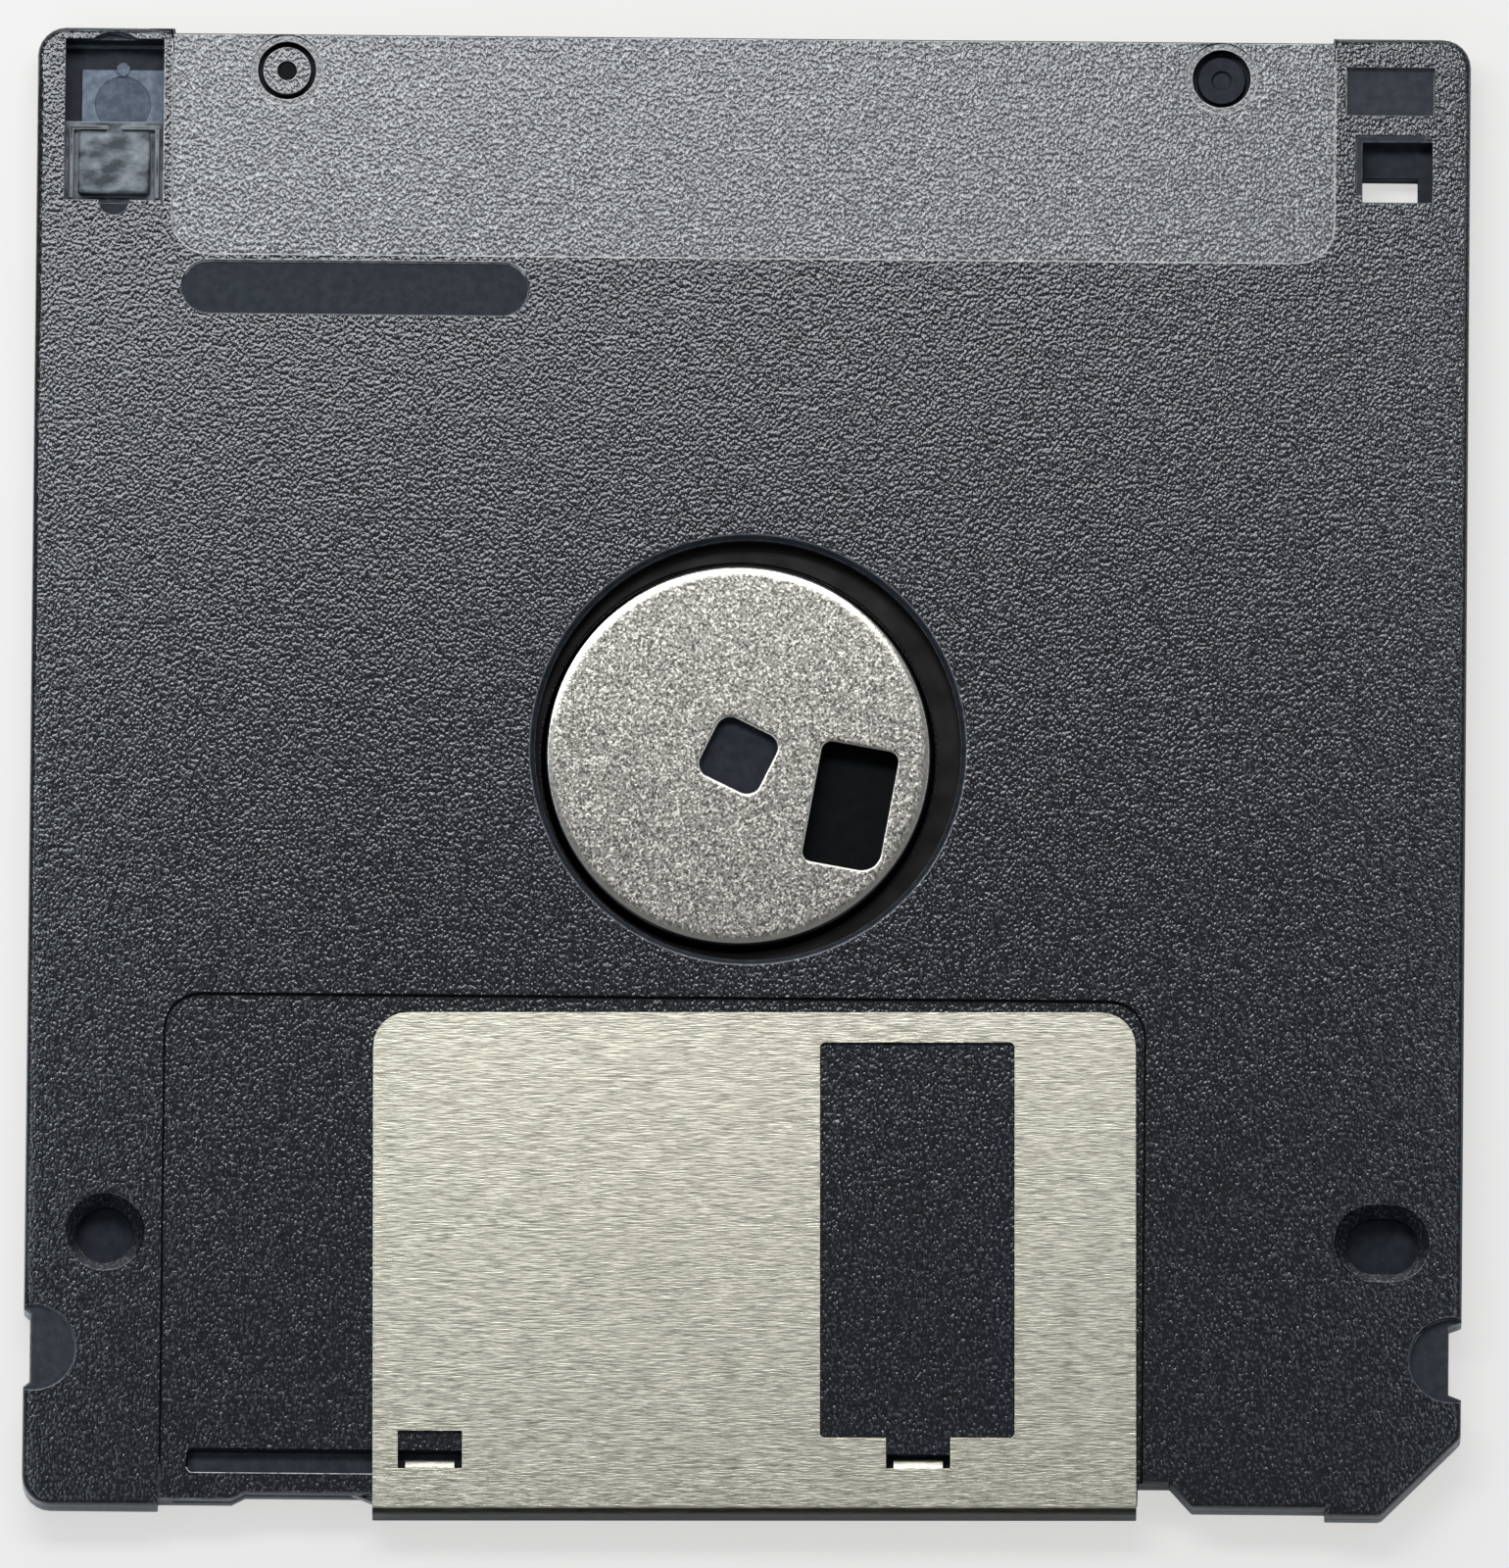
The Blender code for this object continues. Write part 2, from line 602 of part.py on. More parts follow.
def locating_cutters(shell_name, low, high, top_radius=LOCATING_RADIUS):
    """Round hole at the left and a slot of the same width at the right; a larger top radius makes cones."""
    tools = []
    for side, x, slot in (("left", -locating_x, 0.0), ("right", locating_x, LOCATING_SLOT)):
        tool = drill(shell_name + "_locating_" + side, x, locating_y, LOCATING_RADIUS,
                     low, high, SMALL_CIRCLE_STEPS, top_radius)
        for vert in tool.data.vertices:
            if vert.co.x > x + WELD_DISTANCE:
                vert.co.x += slot / 2
            elif vert.co.x < x - WELD_DISTANCE:
                vert.co.x -= slot / 2
        tools.append(tool)
    return tools


# Back half of the case, hub side
def make_back_shell():
    low = parting_z + PARTING_GAP / 2
    top = CASE_THICKNESS
    shell = slab("back_shell", [case_outline()], low, top, parts)
    soften(shell, top, EDGE_RADIUS)
    under = low - OVERCUT
    over = top + OVERCUT
    label, recess = face_recess_outlines(LABEL_BACK_HEIGHT)
    cavity = drill("back_cavity", 0.0, hub_hole_y, cavity_radius, under, back_floor_z, CIRCLE_STEPS)
    access = drill("hub_access", 0.0, hub_hole_y, HUB_HOLE_RADIUS, under, over, CIRCLE_STEPS)
    access_rim = drill("hub_access_rim", 0.0, hub_hole_y, HUB_HOLE_RADIUS, top - HUB_HOLE_CHAMFER,
                       top + HUB_HOLE_CHAMFER, CIRCLE_STEPS, HUB_HOLE_RADIUS + 2 * HUB_HOLE_CHAMFER)
    label_recess = slab("back_label_recess", [label], top - LABEL_DEPTH, over)
    shutter_recess = slab("back_shutter_recess", [recess], top - RECESS_DEPTH, over)
    head_window = slab("back_head_window", [head_window_outline()], under, over)
    groove = slab("guide_groove", [rounded(box_corners(
        groove_left, groove_right, groove_low, groove_high, GROOVE_CORNER_RADIUS))],
        top - GROOVE_DEPTH, over)
    spring_slot = slab("back_spring_slot", [spring_slot_outline()], under,
                       parting_z + SPRING_SLOT_HEIGHT / 2)
    cuts = [cavity, *corner_pockets("back", under, back_floor_z), spring_slot, access, access_rim,
            label_recess, shutter_recess, head_window, groove,
            *locating_cutters("back", under, over),
            *locating_cutters("back_mouth", top - LOCATING_MOUTH_DEPTH, top + LOCATING_MOUTH_DEPTH,
                              LOCATING_RADIUS + 2 * LOCATING_MOUTH_WIDTH)]

    hole_left = capacity_x - CAPACITY_HOLE_WIDTH / 2
    hole_right = capacity_x + CAPACITY_HOLE_WIDTH / 2
    hole_low = inhibit_y - CAPACITY_HOLE_HEIGHT / 2
    hole_high = inhibit_y + CAPACITY_HOLE_HEIGHT / 2
    capacity_hole = slab("back_capacity_hole", [rounded(box_corners(
        hole_left, hole_right, hole_low, hole_high, 0.0))], under, over)
    capacity_rim = slab("capacity_rim", [rounded(box_corners(
        hole_left - CAPACITY_RIM, hole_right - CAPACITY_RIM, hole_low + CAPACITY_RIM,
        hole_high + CAPACITY_RIM, 0.0))], top - CAPACITY_RIM_DEPTH, over)
    code_x = half_width - CODE_RECESS_FROM_SIDE
    code_y = case_top - CODE_RECESS_FROM_TOP
    code_recess = slab("code_recess", [rounded(box_corners(
        code_x - CODE_RECESS_WIDTH / 2, code_x + CODE_RECESS_WIDTH / 2,
        code_y - CODE_RECESS_HEIGHT / 2, code_y + CODE_RECESS_HEIGHT / 2, 0.0))],
        top - CODE_RECESS_DEPTH, over)
    pill_x = -half_width + PILL_FROM_SIDE
    pill_high = case_top - LABEL_BACK_HEIGHT - PILL_GAP
    pill = slab("pill_recess", [rounded(box_corners(
        pill_x - PILL_WIDTH / 2, pill_x + PILL_WIDTH / 2, pill_high - PILL_HEIGHT, pill_high,
        PILL_RADIUS))], top - PILL_DEPTH, over)
    cuts.extend((capacity_hole, capacity_rim, code_recess, pill))

    for side, x in (("left", -pin_x), ("right", pin_x)):
        pin_hole = drill("pin_hole_" + side, x, pin_y, PIN_RADIUS + PIN_CLEARANCE, under, over)
        pin_ring = drill("pin_ring_" + side, x, pin_y, PIN_RADIUS + PIN_CLEARANCE + PIN_RING_WIDTH,
                         top - LABEL_DEPTH - PIN_RING_DEPTH, over)
        cuts.extend((pin_hole, pin_ring))
    for side, x, depth in (("left", -half_width + THUMB_INSET, THUMB_LEFT_DEPTH),
                           ("right", half_width - THUMB_INSET, THUMB_RIGHT_DEPTH)):
        thumb = drill("side_pocket_" + side, x, notch_y, THUMB_RADIUS, top - depth, over)
        cuts.append(thumb)

    window = slab("protect_window", [rounded(box_corners(
        protect_x - PROTECT_WINDOW_WIDTH / 2, protect_x + PROTECT_WINDOW_WIDTH / 2,
        protect_low, protect_high, 0.0))], under, over)
    pocket = slab("back_protect_pocket", [protect_pocket_outline()], under, top - PROTECT_ROOF_THICKNESS)
    thumb = drill("protect_thumb", protect_x, protect_high + PROTECT_THUMB_RISE - PROTECT_THUMB_RADIUS,
                  PROTECT_THUMB_RADIUS, top - PROTECT_THUMB_DEPTH, over)
    nick = drill("protect_nick", protect_x, protect_low, PROTECT_NICK_RADIUS,
                 top - PROTECT_NICK_DEPTH, over)
    combine(shell, "DIFFERENCE", *cuts, window, pocket, thumb, nick)
    shade(shell)
    return shell


def head_window_outline():
    """Opening for the heads, which the shutter's window uncovers when the shutter is slid open."""
    return rounded(box_corners(
        -HEAD_WINDOW_WIDTH / 2, HEAD_WINDOW_WIDTH / 2,
        window_bottom + HEAD_WINDOW_MARGIN, window_top - HEAD_WINDOW_MARGIN, HEAD_WINDOW_RADIUS))


def spring_slot_outline():
    """Slit between the shells that lets the spring's leg out to the fold of the shutter."""
    left = recess_left + GROOVE_LEFT_MARGIN / 2
    return rounded(box_corners(
        left, left + SPRING_SLOT_LENGTH, case_bottom - OVERCUT, pocket_low + CAVITY_RIB))


def protect_pocket_outline():
    """Room between the shells for the write-protect slider and its travel."""
    reach = PROTECT_WINDOW_WIDTH / 2 + TAB_PLATE_LAP + PROTECT_PLAY / 2
    low = protect_low - TAB_PLATE_LAP - PROTECT_PLAY
    high = max(protect_high - PROTECT_END_LIP, low + 2 * PROTECT_PLAY + TAB_PLATE_HEIGHT + PROTECT_TRAVEL)
    return rounded(box_corners(protect_x - reach, protect_x + reach, low, high))


# Front half of the case, label side
def make_front_shell():
    high = parting_z - PARTING_GAP / 2
    shell = slab("front_shell", [case_outline()], 0.0, high, parts)
    soften(shell, 0.0, EDGE_RADIUS)
    under = -OVERCUT
    over = high + OVERCUT
    label, recess = face_recess_outlines(LABEL_FRONT_HEIGHT)
    cavity = drill("front_cavity", 0.0, hub_hole_y, cavity_radius, front_floor_z,
                   high + PARTING_GAP, CIRCLE_STEPS)
    label_recess = slab("front_label_recess", [label], under, LABEL_DEPTH)
    shutter_recess = slab("front_shutter_recess", [recess], under, RECESS_DEPTH)
    head_window = slab("front_head_window", [head_window_outline()], under, over)
    spring_slot = slab("front_spring_slot", [spring_slot_outline()],
                       parting_z - SPRING_SLOT_HEIGHT / 2, over)
    capacity_left = capacity_x - CAPACITY_HOLE_WIDTH / 2
    capacity_low = inhibit_y - CAPACITY_HOLE_HEIGHT / 2
    capacity_hole = slab("front_capacity_hole", [rounded(box_corners(
        capacity_left, capacity_left + CAPACITY_FRONT_WIDTH,
        capacity_low, capacity_low + CAPACITY_FRONT_HEIGHT))], under, over)
    protect_hole = slab("front_protect_hole", [rounded(box_corners(
        protect_x - PROTECT_HOLE_SIZE / 2, protect_x + PROTECT_HOLE_SIZE / 2,
        inhibit_y - PROTECT_HOLE_SIZE / 2, inhibit_y + PROTECT_HOLE_SIZE / 2, 0.0))], under, over)
    pocket = slab("front_protect_pocket", [protect_pocket_outline()], PROTECT_POCKET_FLOOR, over)
    lifter_pocket = slab("lifter_pocket", [lifter_outline(LIFTER_CLEARANCE)],
                         front_floor_z - LIFTER_POCKET_DEPTH, over)
    arrow_x = half_width - LABEL_MARGIN / 2
    arrow_y = locating_y + ARROW_ABOVE_LOCATING
    arrow = slab("arrow_mark", [[
        (arrow_x, arrow_y - ARROW_LENGTH),
        (arrow_x + ARROW_WIDTH / 2, arrow_y),
        (arrow_x - ARROW_WIDTH / 2, arrow_y)]], under, ARROW_DEPTH)
    boss = drill("hub_boss", 0.0, hub_hole_y, BOSS_RADIUS, ROOT_HEIGHT,
                 hub_face_z - HUB_SHEET - BOSS_GAP)
    additions = [boss]
    cuts = [cavity, *corner_pockets("front", front_floor_z, over), spring_slot, label_recess,
            shutter_recess, head_window, capacity_hole, protect_hole, pocket, lifter_pocket, arrow,
            *locating_cutters("front", LOCATING_FLOOR, over)]
    for side, x, sink in (("left", -pin_x, PIN_LEFT_SINK), ("right", pin_x, PIN_RIGHT_SINK)):
        top = CASE_THICKNESS - sink
        pin = drill("weld_pin_" + side, x, pin_y, PIN_RADIUS, ROOT_HEIGHT, top)
        dimple = drill("pin_dimple_" + side, x, pin_y, PIN_DIMPLE_RADIUS, top - PIN_DIMPLE_DEPTH,
                       top + OVERCUT)
        additions.append(pin)
        cuts.append(dimple)

    stand_low = protect_high - PLATFORM_HEIGHT - PLATFORM_FROM_TOP
    stand_left = protect_x - PROTECT_WINDOW_WIDTH / 2 + PLATFORM_SIDE_GAP
    stand_right = protect_x + PROTECT_WINDOW_WIDTH / 2
    stand_top = PROTECT_POCKET_FLOOR + PLATFORM_RISE
    stand_x = (stand_left + stand_right) / 2
    stand = slab("protect_stand", [rounded(box_corners(
        stand_left, stand_right, stand_low, stand_low + PLATFORM_HEIGHT, 0.0))],
        ROOT_HEIGHT, stand_top)
    nub = drill("protect_nub", stand_x, stand_low + PLATFORM_HEIGHT, PLATFORM_NUB_RADIUS,
                ROOT_HEIGHT, stand_top + PLATFORM_NUB_RISE)
    mark = drill("protect_mark", stand_x, stand_low + PLATFORM_HEIGHT - PLATFORM_NUB_RADIUS
                 - PLATFORM_MARK_RADIUS, PLATFORM_MARK_RADIUS, stand_top - PLATFORM_MARK_DEPTH,
                 stand_top + OVERCUT)
    combine(cavity, "DIFFERENCE", boss)
    combine(pocket, "DIFFERENCE", stand, nub)
    combine(shell, "UNION", *additions)
    combine(shell, "DIFFERENCE", *cuts, mark)
    shade(shell)
    return shell


def lifter_outline(margin):
    """Leaf under the front liner, beside the shutter; the margin widens it to its pocket."""
    x = LIFTER_OFFSET_X
    y = hub_hole_y - LIFTER_BELOW_HUB
    return rounded(box_corners(
        x - LIFTER_WIDTH / 2 - margin, x + LIFTER_WIDTH / 2 + margin,
        y - LIFTER_LENGTH / 2 - margin, y + LIFTER_LENGTH / 2 + margin, LIFTER_CORNER_RADIUS))


# Shutter, built round its own middle and then turned by its small skew
def make_shutter():
    top = shutter_height / 2
    fold = -top
    high = back_leaf_z + SHUTTER_SHEET
    low = front_leaf_z - SHUTTER_SHEET
    inner_radius = SHUTTER_BEND_RADIUS - SHUTTER_SHEET
    shutter = folded("shutter", rounded([
        (top, high, 0.0),
        (fold, high, SHUTTER_BEND_RADIUS),
        (fold, low, SHUTTER_BEND_RADIUS),
        (top, low, 0.0),
        (top, front_leaf_z, 0.0),
        (fold + SHUTTER_SHEET, front_leaf_z, inner_radius),
        (fold + SHUTTER_SHEET, back_leaf_z, inner_radius),
        (top, back_leaf_z, 0.0)]), -SHUTTER_WIDTH / 2, SHUTTER_WIDTH / 2, parts)
    left = -SHUTTER_WIDTH / 2
    under = low - OVERCUT
    over = high + OVERCUT
    blank = slab("shutter_blank", [rounded([
        (left - OVERCUT, fold - OVERCUT, 0.0),
        (-left + OVERCUT, fold - OVERCUT, 0.0),
        (-left + OVERCUT, 0.0, 0.0),
        (-left, 0.0, 0.0),
        (-left, top, SHUTTER_CORNER_RADIUS),
        (left, top, SHUTTER_CORNER_RADIUS),
        (left, 0.0, 0.0),
        (left - OVERCUT, 0.0, 0.0)])], under, over)
    window_x = SHUTTER_WINDOW_OFFSET - shutter_x
    window_high = top - SHUTTER_WINDOW_FROM_TOP
    window = slab("shutter_window", [rounded(box_corners(
        window_x - SHUTTER_WINDOW_WIDTH / 2, window_x + SHUTTER_WINDOW_WIDTH / 2,
        window_high - SHUTTER_WINDOW_HEIGHT, window_high, SHUTTER_WINDOW_RADIUS))], under, over)
    combine(shutter, "INTERSECT", blank)
    combine(shutter, "DIFFERENCE", window)
    tab_edge = top - LANCE_FROM_TOP
    for side, from_side in (("left", LEFT_LANCE_FROM_SIDE), ("right", RIGHT_LANCE_FROM_SIDE)):
        x = left + from_side
        lance = slab("lance_" + side, [rounded(box_corners(
            x - LANCE_WIDTH / 2, x + LANCE_WIDTH / 2, tab_edge, tab_edge + LANCE_HEIGHT, 0.0))],
            under, over)
        combine(shutter, "DIFFERENCE", lance)
        bent = folded("bent_tab_" + side, bent_tab_profile(tab_edge, high),
                      x - TAB_WIDTH / 2, x + TAB_WIDTH / 2)
        combine(shutter, "UNION", bent)
    hook = slab("spring_hook", [rounded(box_corners(
        left + HOOK_FROM_SIDE, left + HOOK_FROM_SIDE + HOOK_WIDTH,
        fold + SHUTTER_SHEET / 2, fold + SHUTTER_SHEET + HOOK_REACH, 0.0))],
        parting_z - SPRING_SLOT_HEIGHT / 2 + SHUTTER_CLEARANCE,
        parting_z + SPRING_SLOT_HEIGHT / 2 - SHUTTER_CLEARANCE)
    combine(shutter, "UNION", hook)
    for piece in [shutter, *tools_of(shutter)]:
        piece.location = (shutter_x, shutter_y, 0.0)
        piece.rotation_euler = (0.0, 0.0, SHUTTER_SKEW)
    shade(shutter)
    return shutter


def bent_tab_profile(edge, high):
    """A (y, z) strip that leaves the sheet at its cut edge and turns down into the guide groove."""
    inner = TAB_BEND_RADIUS - SHUTTER_SHEET
    outside = arc(edge, high - TAB_BEND_RADIUS, TAB_BEND_RADIUS, math.pi / 2, 0.0, ARC_STEPS)
    inside = arc(edge, high - TAB_BEND_RADIUS, inner, 0.0, math.pi / 2, ARC_STEPS)
    tip = high - TAB_REACH - SHUTTER_SHEET
    root = edge - SHUTTER_SHEET
    return [
        (root, high), *outside, (edge + TAB_BEND_RADIUS, tip), (edge + inner, tip), *inside,
        (root, high - SHUTTER_SHEET)]


# Write-protect slider
def make_write_protect_tab():
    centre_y = inhibit_y
    plate_low = protect_low - TAB_PLATE_LAP - centre_y
    plate_high = plate_low + TAB_PLATE_HEIGHT
    plate_side = PROTECT_WINDOW_WIDTH / 2 + TAB_PLATE_LAP
    base = PROTECT_POCKET_FLOOR + TAB_PLATE_RISE
    plate_top = base + TAB_PLATE_THICKNESS
    tab = slab("write_protect_tab", [rounded(box_corners(
        -plate_side, plate_side, plate_low, plate_high, TAB_PLATE_RADIUS))],
        base, plate_top, parts)
    block = slab("tab_block", [rounded(box_corners(
        -TAB_BLOCK_WIDTH / 2, TAB_BLOCK_WIDTH / 2, -TAB_BLOCK_HEIGHT / 2, TAB_BLOCK_HEIGHT / 2,
        TAB_BLOCK_RADIUS))], base + TAB_PLATE_THICKNESS / 2, CASE_THICKNESS - TAB_BLOCK_SINK)
    soften(block, CASE_THICKNESS - TAB_BLOCK_SINK, TAB_BLOCK_EDGE)
    ridge_low = base + TAB_PLATE_THICKNESS / 2
    ridge_top = plate_top + TAB_RIDGE_RISE
    bar_high = plate_high - TAB_PLATE_LAP
    bar_side = PROTECT_WINDOW_WIDTH / 2 - TAB_RIDGE_WIDTH
    rail_low = plate_low + TAB_PLATE_LAP + TAB_RIDGE_WIDTH
    ridges = []
    for name, left, right, low, high in (
            ("bar_left", -bar_side, -TAB_RIDGE_GAP / 2, bar_high - TAB_RIDGE_WIDTH, bar_high),
            ("bar_right", TAB_RIDGE_GAP / 2, bar_side, bar_high - TAB_RIDGE_WIDTH, bar_high),
            ("rail_left", -bar_side, -bar_side + TAB_RIDGE_WIDTH, rail_low, bar_high - TAB_RIDGE_WIDTH / 2),
            ("rail_right", bar_side - TAB_RIDGE_WIDTH, bar_side, rail_low, bar_high - TAB_RIDGE_WIDTH / 2)):
        ridges.append(slab("tab_" + name, [rounded(box_corners(left, right, low, high))],
                           ridge_low, ridge_top))
    combine(tab, "UNION", block, *ridges)
    for piece in [tab, *tools_of(tab)]:
        piece.location = (protect_x, centre_y, 0.0)
    shade(tab)
    return tab


# Hub: a pressed cup turned from sheet, pierced by the square hole and the drive slot
def make_hub():
    low = hub_flange_low
    wall = HUB_RADIUS
    inner = wall - HUB_SHEET
    flange = wall + HUB_FLANGE_WIDTH
    radius = HUB_EDGE_RADIUS
    inner_radius = radius - HUB_SHEET
    outside = arc(wall - radius, hub_face_z - radius, radius, math.pi / 2, 0.0, BEVEL_STEPS)
    inside = arc(wall - radius, hub_face_z - radius, inner_radius, 0.0, math.pi / 2, BEVEL_STEPS)
    hub = turned("hub", [
        (0.0, hub_face_z), *outside, (wall, hub_flange_top), (flange, hub_flange_top),
        (flange, low), (inner, low), *inside, (0.0, hub_face_z - HUB_SHEET)], False, parts)
    square = rounded(box_corners(
        -HUB_SQUARE_SIZE / 2, HUB_SQUARE_SIZE / 2, -HUB_SQUARE_SIZE / 2, HUB_SQUARE_SIZE / 2,
        HUB_SQUARE_RADIUS))
    slot = rounded([
        (-HUB_SLOT_WIDTH / 2, -HUB_SLOT_HEIGHT / 2, HUB_SLOT_RADIUS),
        (HUB_SLOT_WIDTH / 2, -HUB_SLOT_HEIGHT / 2, HUB_SLOT_LOWER_RADIUS),
        (HUB_SLOT_WIDTH / 2, HUB_SLOT_HEIGHT / 2, HUB_SLOT_RADIUS),
        (-HUB_SLOT_WIDTH / 2, HUB_SLOT_HEIGHT / 2, HUB_SLOT_RADIUS)])
    for name, outline, x, y, turn in (
            ("square_hole", square, 0.0, 0.0, HUB_SQUARE_TURN),
            ("drive_slot", slot, HUB_SLOT_OFFSET_X, HUB_SLOT_OFFSET_Y, HUB_SLOT_TURN)):
        cutter = slab(name, [outline], hub_face_z - HUB_SHEET - OVERCUT, hub_face_z + OVERCUT)
        flare = slab(name + "_flare", [outline], hub_face_z - HUB_HOLE_FLARE, hub_face_z + HUB_HOLE_FLARE)
        widen(flare, hub_face_z + HUB_HOLE_FLARE, 2 * HUB_HOLE_FLARE)
        for tool in (cutter, flare):
            tool.location = (hub_x + x, hub_y + y, 0.0)
            tool.rotation_euler = (0.0, 0.0, turn)
        combine(hub, "DIFFERENCE", cutter, flare)
    hub.location = (hub_x, hub_y, 0.0)
    shade(hub, HUB_SHADE_ANGLE)
    return hub


def widen(plate, height, growth):
    """Spread the rim of a plate at the given height outwards, so that its walls slope."""
    half_x = max(vert.co.x for vert in plate.data.vertices)
    half_y = max(vert.co.y for vert in plate.data.vertices)
    for vert in plate.data.vertices:
        if abs(vert.co.z - height) < WELD_DISTANCE:
            vert.co.x *= 1.0 + growth / half_x
            vert.co.y *= 1.0 + growth / half_y


def ring(name, inner, outer, low, high):
    """A flat ring round the hub's axis."""
    return turned(name, [(inner, high), (outer, high), (outer, low), (inner, low)], True, parts)


def make_disk_pieces():
    disk = ring("magnetic_disk", disk_hole_radius, disk_radius, disk_low, disk_low + DISK_THICKNESS)
    adhesive_inner = HUB_RADIUS + (HUB_FLANGE_WIDTH - ADHESIVE_WIDTH) / 2
    adhesive = ring("hub_adhesive_ring", adhesive_inner + ADHESIVE_GAP,
                    adhesive_inner + ADHESIVE_WIDTH, adhesive_low, adhesive_low + ADHESIVE_THICKNESS)
    for piece in (disk, adhesive):
        piece.location = (hub_x, hub_y, 0.0)
    return disk, adhesive


# Cleaning liners on both shells, cut away at the head window, and the leaf under the front one
def make_liner(name, low):
    liner = slab(name, [
        circle(0.0, hub_hole_y, cavity_radius - LINER_OUTER_PLAY),
        circle(0.0, hub_hole_y, LINER_INNER_RADIUS)], low, low + LINER_THICKNESS, parts)
    window = slab(name + "_window", [rounded(box_corners(
        -HEAD_WINDOW_WIDTH / 2 - LINER_WINDOW_MARGIN, HEAD_WINDOW_WIDTH / 2 + LINER_WINDOW_MARGIN,
        hub_hole_y - cavity_radius - OVERCUT, window_top - HEAD_WINDOW_MARGIN + LINER_WINDOW_MARGIN))],
        low - OVERCUT, low + OVERCUT)
    combine(liner, "DIFFERENCE", window)
    return liner


def make_lifter():
    low = front_floor_z - LIFTER_POCKET_DEPTH + (LIFTER_POCKET_DEPTH - LIFTER_THICKNESS) / 2
    return slab("liner_lifter", [lifter_outline(0.0)], low, low + LIFTER_THICKNESS, parts)


# Closing spring: one leg in the corner of its pocket, a flat coil, and a leg to the shutter's hook
def make_spring():
    coil_x = -half_width + COIL_FROM_SIDE
    coil_y = case_bottom + COIL_FROM_BOTTOM
    anchor_x = -pocket_side + ANCHOR_GAP
    anchor_y = coil_y + COIL_RADIUS + POCKET_WALL
    hook_x = shutter_left + HOOK_FROM_SIDE - WIRE_RADIUS - HOOK_GAP
    hook_y = shutter_fold + SHUTTER_SHEET + HOOK_REACH / 2
    start = tangent_angle(coil_x, coil_y, anchor_x, anchor_y, -1.0)
    end = tangent_angle(coil_x, coil_y, hook_x, hook_y, 1.0)
    turn = (end - start) % (2 * math.pi) + 2 * math.pi * COIL_TURNS
    rise = COIL_PITCH * turn / (2 * math.pi)
    steps = SMALL_CIRCLE_STEPS // 2 * (COIL_TURNS + 1)
    path = [(anchor_x, anchor_y, parting_z - rise / 2)]
    for step in range(steps + 1):
        angle = start + turn * step / steps
        path.append((coil_x + COIL_RADIUS * math.cos(angle), coil_y + COIL_RADIUS * math.sin(angle),
                     parting_z - rise / 2 + rise * step / steps))
    leave_x = path[-1][0]
    leave_y = path[-1][1]
    level_x = leave_x + (hook_x - leave_x) * LEG_LEVEL_SHARE
    level_y = leave_y + (hook_y - leave_y) * LEG_LEVEL_SHARE
    path.append((level_x, level_y, parting_z))
    path.append((hook_x, hook_y, parting_z))
    curve = bpy.data.curves.new("shutter_spring", "CURVE")
    curve.dimensions = "3D"
    curve.bevel_depth = WIRE_RADIUS
    curve.bevel_resolution = WIRE_FACETS
    curve.use_fill_caps = True
    spline = curve.splines.new("POLY")
    spline.points.add(len(path) - 1)
    for point, place_on_path in zip(spline.points, path):
        point.co = (*place_on_path, 1.0)
    spring = place("shutter_spring", curve, parts)
    return spring


def tangent_angle(x, y, far_x, far_y, side):
    """Angle on the coil where a straight leg from a far point meets it, on the chosen side."""
    distance = math.hypot(far_x - x, far_y - y)
    towards = math.atan2(far_y - y, far_x - x)
    return towards - side * math.acos(COIL_RADIUS / distance)


# Finishes and the finished pieces
black_plastic = material("moulded black plastic", (0.035, 0.037, 0.04), 0.55)
black_plastic_front = material("moulded black plastic, front", (0.035, 0.037, 0.04), 0.55)
slider_plastic = material("slider plastic", (0.045, 0.05, 0.06), 0.4)
shutter_metal = material("brushed sheet metal", (0.62, 0.61, 0.55), 0.38, 1.0)
hub_metal = material("pressed steel", (0.6, 0.58, 0.55), 0.38, 1.0)
spring_metal = material("spring wire", (0.55, 0.55, 0.56), 0.3, 1.0)
disk_film = material("coated film", (0.03, 0.022, 0.018), 0.2)
adhesive_film = material("adhesive film", (0.55, 0.5, 0.4), 0.5)
liner_back_fabric = material("liner fabric, back", (0.82, 0.82, 0.8), 0.9)
liner_front_fabric = material("liner fabric, front", (0.82, 0.82, 0.8), 0.9)
lifter_film = material("lifter film", (0.6, 0.62, 0.64), 0.35)

make_back_shell().data.materials.append(black_plastic)
make_front_shell().data.materials.append(black_plastic_front)
make_shutter().data.materials.append(shutter_metal)
make_write_protect_tab().data.materials.append(slider_plastic)
make_hub().data.materials.append(hub_metal)
disk_piece, adhesive_piece = make_disk_pieces()
disk_piece.data.materials.append(disk_film)
adhesive_piece.data.materials.append(adhesive_film)
make_liner("back_liner", back_floor_z - SEAT_GAP - LINER_THICKNESS).data.materials.append(liner_back_fabric)
make_liner("front_liner", front_floor_z + SEAT_GAP).data.materials.append(liner_front_fabric)
make_lifter().data.materials.append(lifter_film)
make_spring().data.materials.append(spring_metal)

# The collections join the scene once everything is made, so that nothing is worked out twice on the way
bpy.context.scene.collection.children.link(parts)
bpy.context.scene.collection.children.link(cutters)
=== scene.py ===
"""A 3.5 inch floppy disk lying on its label side, with the hub side up, dressed over its CAD frame.

Everything is in metres and +Z is up. The pieces come in the order in which the disk is put
together, and the floor, the lights and the camera come last.
"""

import math

